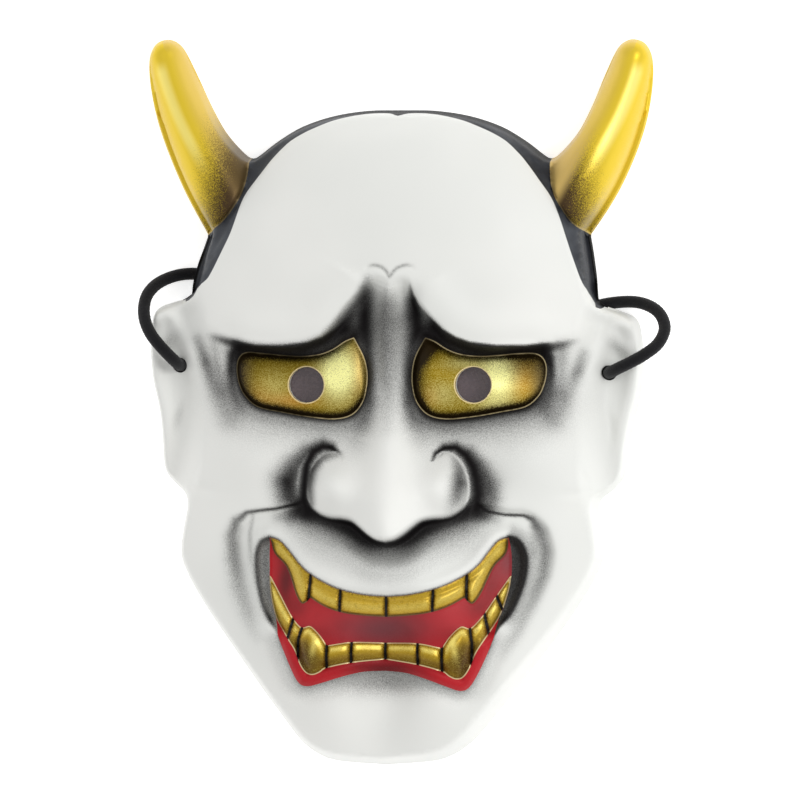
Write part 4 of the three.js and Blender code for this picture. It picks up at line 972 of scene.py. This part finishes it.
def makeShell():
    loopA, (spotsA, facesA, whereA) = outerNet()
    loopB, (spotsB, facesB, whereB) = innerNet()
    print("nets", len(spotsA), len(facesA), len(spotsB), len(facesB))
    xa, ya = spotsA.T
    xb, yb = spotsB.T
    za = np.maximum(form(xa, ya), rimHeight(xa, ya) + 0.05)
    zb = np.maximum(innerForm(xb, yb), rimHeight(xb, yb) + 0.05)
    # flat seats behind the eye discs
    px, py, pr, _ = shell["pupil"]
    away = np.hypot(np.abs(xb) - px, yb - py)
    seat = np.median(zb[np.abs(away - shell["seat"]) < 0.1])
    seat = min(seat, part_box("eye_lens_left")[1][2] / mm + 0.3)
    zb = zb + (seat - zb) * step(shell["seat"] + 3, shell["seat"], away)
    for z, loop, where in ((za, loopA, whereA), (zb, loopB, whereB)):
        z[[where[i] for i in range(len(loop))]] = rimHeight(*loop.T)
    # the rim and the walls of the holes join the two nets
    base = len(spotsA)
    namesB = {old: new + base for old, new in whereB.items()}
    strip = zipper(loopA, loopB, whereA, namesB)
    startA, startB = len(loopA), len(loopB)
    for ring in holeRings():
        n = len(ring)
        for i in range(n):
            j = (i + 1) % n
            a, b, c, d = whereA[startA + i], whereA[startA + j], namesB[startB + i], namesB[startB + j]
            strip += [(a, b, d), (a, d, c)]
        startA, startB = startA + n, startB + n
    faces = np.vstack([facesA, facesB[:, ::-1] + base, np.array(strip)])
    x, y, z = np.vstack([np.stack([xa, ya, za], 1), np.stack([xb, yb, zb], 1)]).T
    placed = (np.stack([*uneven(x, y), z], 1) + rowShift) * mm
    ob = newPiece("painted_shell", placed, faces, shellMaterial())
    mesh = ob.data
    mesh.validate()
    mesh.set_sharp_from_angle(angle=math.radians(shell["sharpFrom"]))
    # the material reads these values at each point
    ax, yl = np.abs(x), y + leanAt(x, y)
    stripMore = paint["stripMore"] * (x < -45) * step(80, 60, y) * step(40, 46, y)
    values = {
        "soot": sootAt(x, y), "side": x,
        **eyePaint(x, y), **toothPaint(x, yl),
        "redDull": share(hills(x, yl, paint["redDull"])),
        "redDark": share(hills(x, yl, paint["redDark"]) + hills(ax, yl, paint["redDarkBoth"])),
        "strip": signed(ax, y, forehead[:-1], [(95, 40.5), (95, 140), (0, 140)]) + stripMore,
        "horn": hornSide(ax, y), "hornRun": along(ax, y, hornAxis)[1],
        "hornAcross": along(ax, y, hornAxis)[0] * along(ax, y, hornAxis)[2],
        "eye": signed(ax, y, eye), "red": signed(ax, yl, redEdge),
        "upper": signed(ax, yl, upperTeeth), "lower": signed(ax, yl, lowerTeeth),
        "upperGap": gapDistance(x, yl, upperGaps), "lowerGap": gapDistance(x, yl, lowerGaps),
        "edge": signed(ax, y, outline), "pupil": np.hypot(ax - px, y - py) - pr,
        "front": np.arange(len(x)) < base,
    }
    for name, value in values.items():
        made = mesh.attributes.new(name, "FLOAT", "POINT")
        made.data.foreach_set("value", np.asarray(value, np.float32))
    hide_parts("mask_shell")
    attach(ob, "root")
    print("shell made,", len(faces), "triangles")


colours = {
    "white": srgb(229, 229, 225), "whiteCool": srgb(222, 223, 219), "soot": srgb(14, 11, 12),
    "hair": srgb(42, 44, 49), "hairLight": srgb(96, 99, 104), "hairLine": srgb(8, 8, 9),
    # the pale horn colour is a painted highlight
    "hornGold": srgb(222, 192, 56), "hornPale": srgb(250, 234, 136), "hornBeige": srgb(204, 174, 104),
    "hornBrown": srgb(70, 54, 36), "hornLine": srgb(196, 176, 132),
    # eye colours: the pale one is a painted highlight, the grey one a painted reflection, the dark one painted shade
    # with speckle
    "eyeGold": srgb(150, 124, 4), "eyePale": srgb(255, 252, 172), "eyeWarm": srgb(190, 142, 56),
    "eyeGreyReflection": srgb(116, 102, 80), "eyeDark": srgb(34, 24, 6),
    # the pale tooth colour is a painted highlight; the dark one serves painted shade and mottling
    "tooth": srgb(186, 152, 38), "toothPale": srgb(244, 224, 120), "toothDark": srgb(72, 48, 12),
    # the dark red serves painted shade and mottling
    "cream": srgb(236, 216, 166), "red": srgb(176, 30, 38), "redDark": srgb(66, 10, 14),
    "redDull": srgb(112, 50, 56), "gap": srgb(14, 10, 8), "raw": srgb(220, 221, 218),
}

finish = {
    "mistBreak": 3.2, "metalGold": 0.5, "metalEye": 0.6,
    "roughPaint": 0.5, "roughGold": 0.4, "roughEye": 0.52,
    "glossPaint": 0.32, "glossSoot": 0.08, "grainDepth": 0.03 * mm,
}


def shellMaterial():
    b = Board("maskPaint", colours)
    grain, coarse, cloud = b.noise(2600, 1, 0.5), b.noise(900, 2, 0.6), b.noise(16, 2, 0.5)
    speck = b.sum("SUBTRACT", grain, 0.5)
    # white with airbrushed soot: the mist breaks into fine dots where it thins out
    soot, side = b.value("soot"), b.value("side")
    thin = b.times(soot, b.sum("SUBTRACT", 1.0, soot))
    mist = b.sum("MULTIPLY_ADD", b.times(speck, finish["mistBreak"]), thin, soot, clamp=True)
    colour = b.mix(mist, b.mix(b.ramp(cloud, 0.3, 0.7), "white", "whiteCool"), "soot")
    # hair strip with a black line at the shell's edge, which is all that shows at the crown
    hair = b.mix(b.ramp(b.noise(60, 3, 0.6), 0.35, 0.75, 0.0, 0.5), "hair", "hairLight")
    hair = b.mix(b.ramp(side, 10, -40, 0.0, 0.3), hair, "hairLight")
    hair = b.mix(b.ramp(b.value("edge"), 0.7, 1.5, 1.0, 0.0), hair, "hairLine")
    hair = b.mix(b.near(side, 0.0, 12, 26, 0.85), hair, "hairLine")
    onStrip = b.ramp(b.value("strip"), -0.12, 0.12)
    colour = b.mix(onStrip, colour, hair)
    # horn: speckled brown foot, gold above it, and a painted highlight as a pale stripe on the outer side
    run, across, horn = b.value("hornRun"), b.value("hornAcross"), b.value("horn")
    onHorn = b.ramp(horn, -0.1, 0.15)
    height = b.sum("MULTIPLY_ADD", speck, 0.5, b.sum("MULTIPLY_ADD", across, -0.02, run))
    gold = b.mix(b.ramp(across, 0.5, 6.0, 0.0, 0.55), "hornGold", "hornBeige")
    length = b.times(b.ramp(run, 0.2, 0.5), b.ramp(run, 0.9, 0.99, 1.0, 0.0))
    # painted highlight along the outer side, a touch brighter on the right horn
    highlightStreak = b.times(b.near(across, -2.8, 0.3, 3.2), length)
    gold = b.mix(b.times(highlightStreak, b.ramp(side, -60, 60, 0.75, 0.8)), gold, "hornPale")
    bare = b.times(b.ramp(across, 0.0, 5.0), b.ramp(side, -60, 60, 0.1, 1.0))
    gold = b.mix(b.ramp(height, 0.06, 0.46), b.mix(bare, "hornBrown", "hornBeige"), gold)
    gold = b.mix(b.times(b.ramp(horn, 0.15, 0.8, 0.35, 0.0), onHorn), gold, "hornLine")
    colour = b.mix(onHorn, colour, gold)
    # eye: gold ball with painted highlight, warm tone, painted grey reflection and painted shade broken by airbrush
    # speckle, a thin outline and the pupil's rim
    eyeEdge = b.value("eye")
    onEye = b.ramp(eyeEdge, -0.1, 0.1)
    iris = b.mix(b.value("eyeWarm"), "eyeGold", "eyeWarm")
    # painted highlight: pale gold where light would catch each ball
    iris = b.mix(b.sum("MULTIPLY_ADD", speck, 0.7, b.value("eyeLight"), clamp=True), iris, "eyePale")
    # painted reflection: grey-beige at the outer ends
    iris = b.mix(b.times(b.value("eyeGreyReflection"), 0.7), iris, "eyeGreyReflection")
    # painted shade toward the edges and corners, with airbrush speckle
    dark = b.sum("SUBTRACT", b.sum("ADD", b.value("eyeShade"), 0.04), b.times(speck, 1.3), clamp=True)
    colour = b.mix(onEye, colour, b.mix(dark, iris, "eyeDark"))
    line = b.times(b.near(eyeEdge, 0.1, 0.1, 0.3), b.value("eyeLine"))
    colour = b.mix(b.most(line, b.ramp(b.value("pupil"), 0.3, 0.55, 0.85, 0.0)), colour, "cream")
    # mouth: red with painted shade, teeth with painted highlights, pale outer edges that are painted highlight, painted
    # shade near their edges, and dark gaps
    red = b.mix(b.value("redDull"), "red", "redDull")
    # painted shade: darker red in the corners and along the bottom
    red = b.mix(b.value("redDark"), red, "redDark")
    red = b.mix(b.ramp(b.noise(130, 2, 0.5), 0.45, 0.75, 0.0, 0.12), red, "redDark")
    colour = b.mix(b.ramp(b.value("red"), -0.1, 0.1), colour, red)
    upperEdge, lowerEdge = b.value("upper"), b.value("lower")
    isLower = b.sum("GREATER_THAN", lowerEdge, upperEdge)
    toothEdge = b.most(upperEdge, lowerEdge)
    onTooth = b.ramp(toothEdge, -0.08, 0.08)
    apart = b.sum("ABSOLUTE", b.blend(isLower, b.value("upperGap"), b.value("lowerGap")))
    within = b.sum("MINIMUM", toothEdge, b.sum("SUBTRACT", apart, 0.5))
    inner = b.sum("MULTIPLY_ADD", speck, 2.2, within)
    # painted shade at the lower teeth's roots and canines; the upper teeth darken along the bite and toward the sides
    tooth = b.mix(b.value("toothDark"), "tooth", "toothDark")
    # painted highlight: pale band on the lower teeth, weak shine on the upper ones
    shine = b.sum("MULTIPLY_ADD", speck, 0.8, b.value("toothLight"), clamp=True)
    tooth = b.mix(b.times(shine, b.ramp(inner, 0.3, 1.6)), tooth, "toothPale")
    # painted shade next to the tooth edges and gaps
    tooth = b.mix(b.ramp(inner, -0.2, 0.9, 0.85, 0.0), tooth, "toothDark")
    tooth = b.mix(b.ramp(coarse, 0.5, 0.75, 0.0, 0.25), tooth, "toothDark")
    # painted highlight: cream line along the outer edges, strong on the lower teeth, faint on the upper ones
    tooth = b.mix(b.times(b.near(toothEdge, 0.15, 0.1, 0.4), b.blend(isLower, 0.1, 0.75)), tooth, "cream")
    tooth = b.mix(b.ramp(apart, 0.36, 0.62, 1.0, 0.0), tooth, "gap")
    colour = b.mix(onTooth, colour, tooth)
    # bare moulded plastic behind
    onFront = b.ramp(b.value("front"), 0.35, 0.65)
    b.give("Base Color", b.mix(onFront, "raw", colour))
    notGap = b.most(b.ramp(apart, 0.36, 0.6), b.sum("SUBTRACT", 1.0, onTooth))
    goldPart = b.times(b.times(b.most(onHorn, b.most(onEye, onTooth)), onFront), notGap)
    b.give("Metallic", b.times(goldPart, b.blend(onEye, finish["metalGold"], finish["metalEye"])))
    rough = b.blend(goldPart, finish["roughPaint"], b.blend(onEye, finish["roughGold"], finish["roughEye"]))
    b.give("Roughness", b.sum("ADD", rough, b.ramp(grain, 0.3, 0.7, -0.06, 0.08)))
    dim = b.times(onFront, b.most(mist, onStrip))
    b.give("Specular IOR Level", b.blend(dim, finish["glossPaint"], finish["glossSoot"]))
    b.bump(b.sum("MULTIPLY_ADD", grain, 0.5, coarse), finish["grainDepth"], 0.5)
    return b.material


makeShell()

lens = {"deep": srgb(88, 76, 84), "dusty": srgb(100, 88, 95), "coat": 0.4}


def lensMaterial():
    b = Board("smokyLens", lens)
    dust = b.noise(700, 3, 0.6)
    b.give("Base Color", b.mix(b.ramp(dust, 0.4, 0.75, 0.0, 0.5), "deep", "dusty"))
    b.give("Roughness", b.ramp(dust, 0.3, 0.8, 0.22, 0.36))
    b.give("Coat Weight", lens["coat"])
    return b.material


lensPaint = lensMaterial()
for name in ("eye_lens_left", "eye_lens_right"):
    disc = bpy.data.objects[name].data
    disc.materials.clear()
    disc.materials.append(lensPaint)
print("lenses finished")
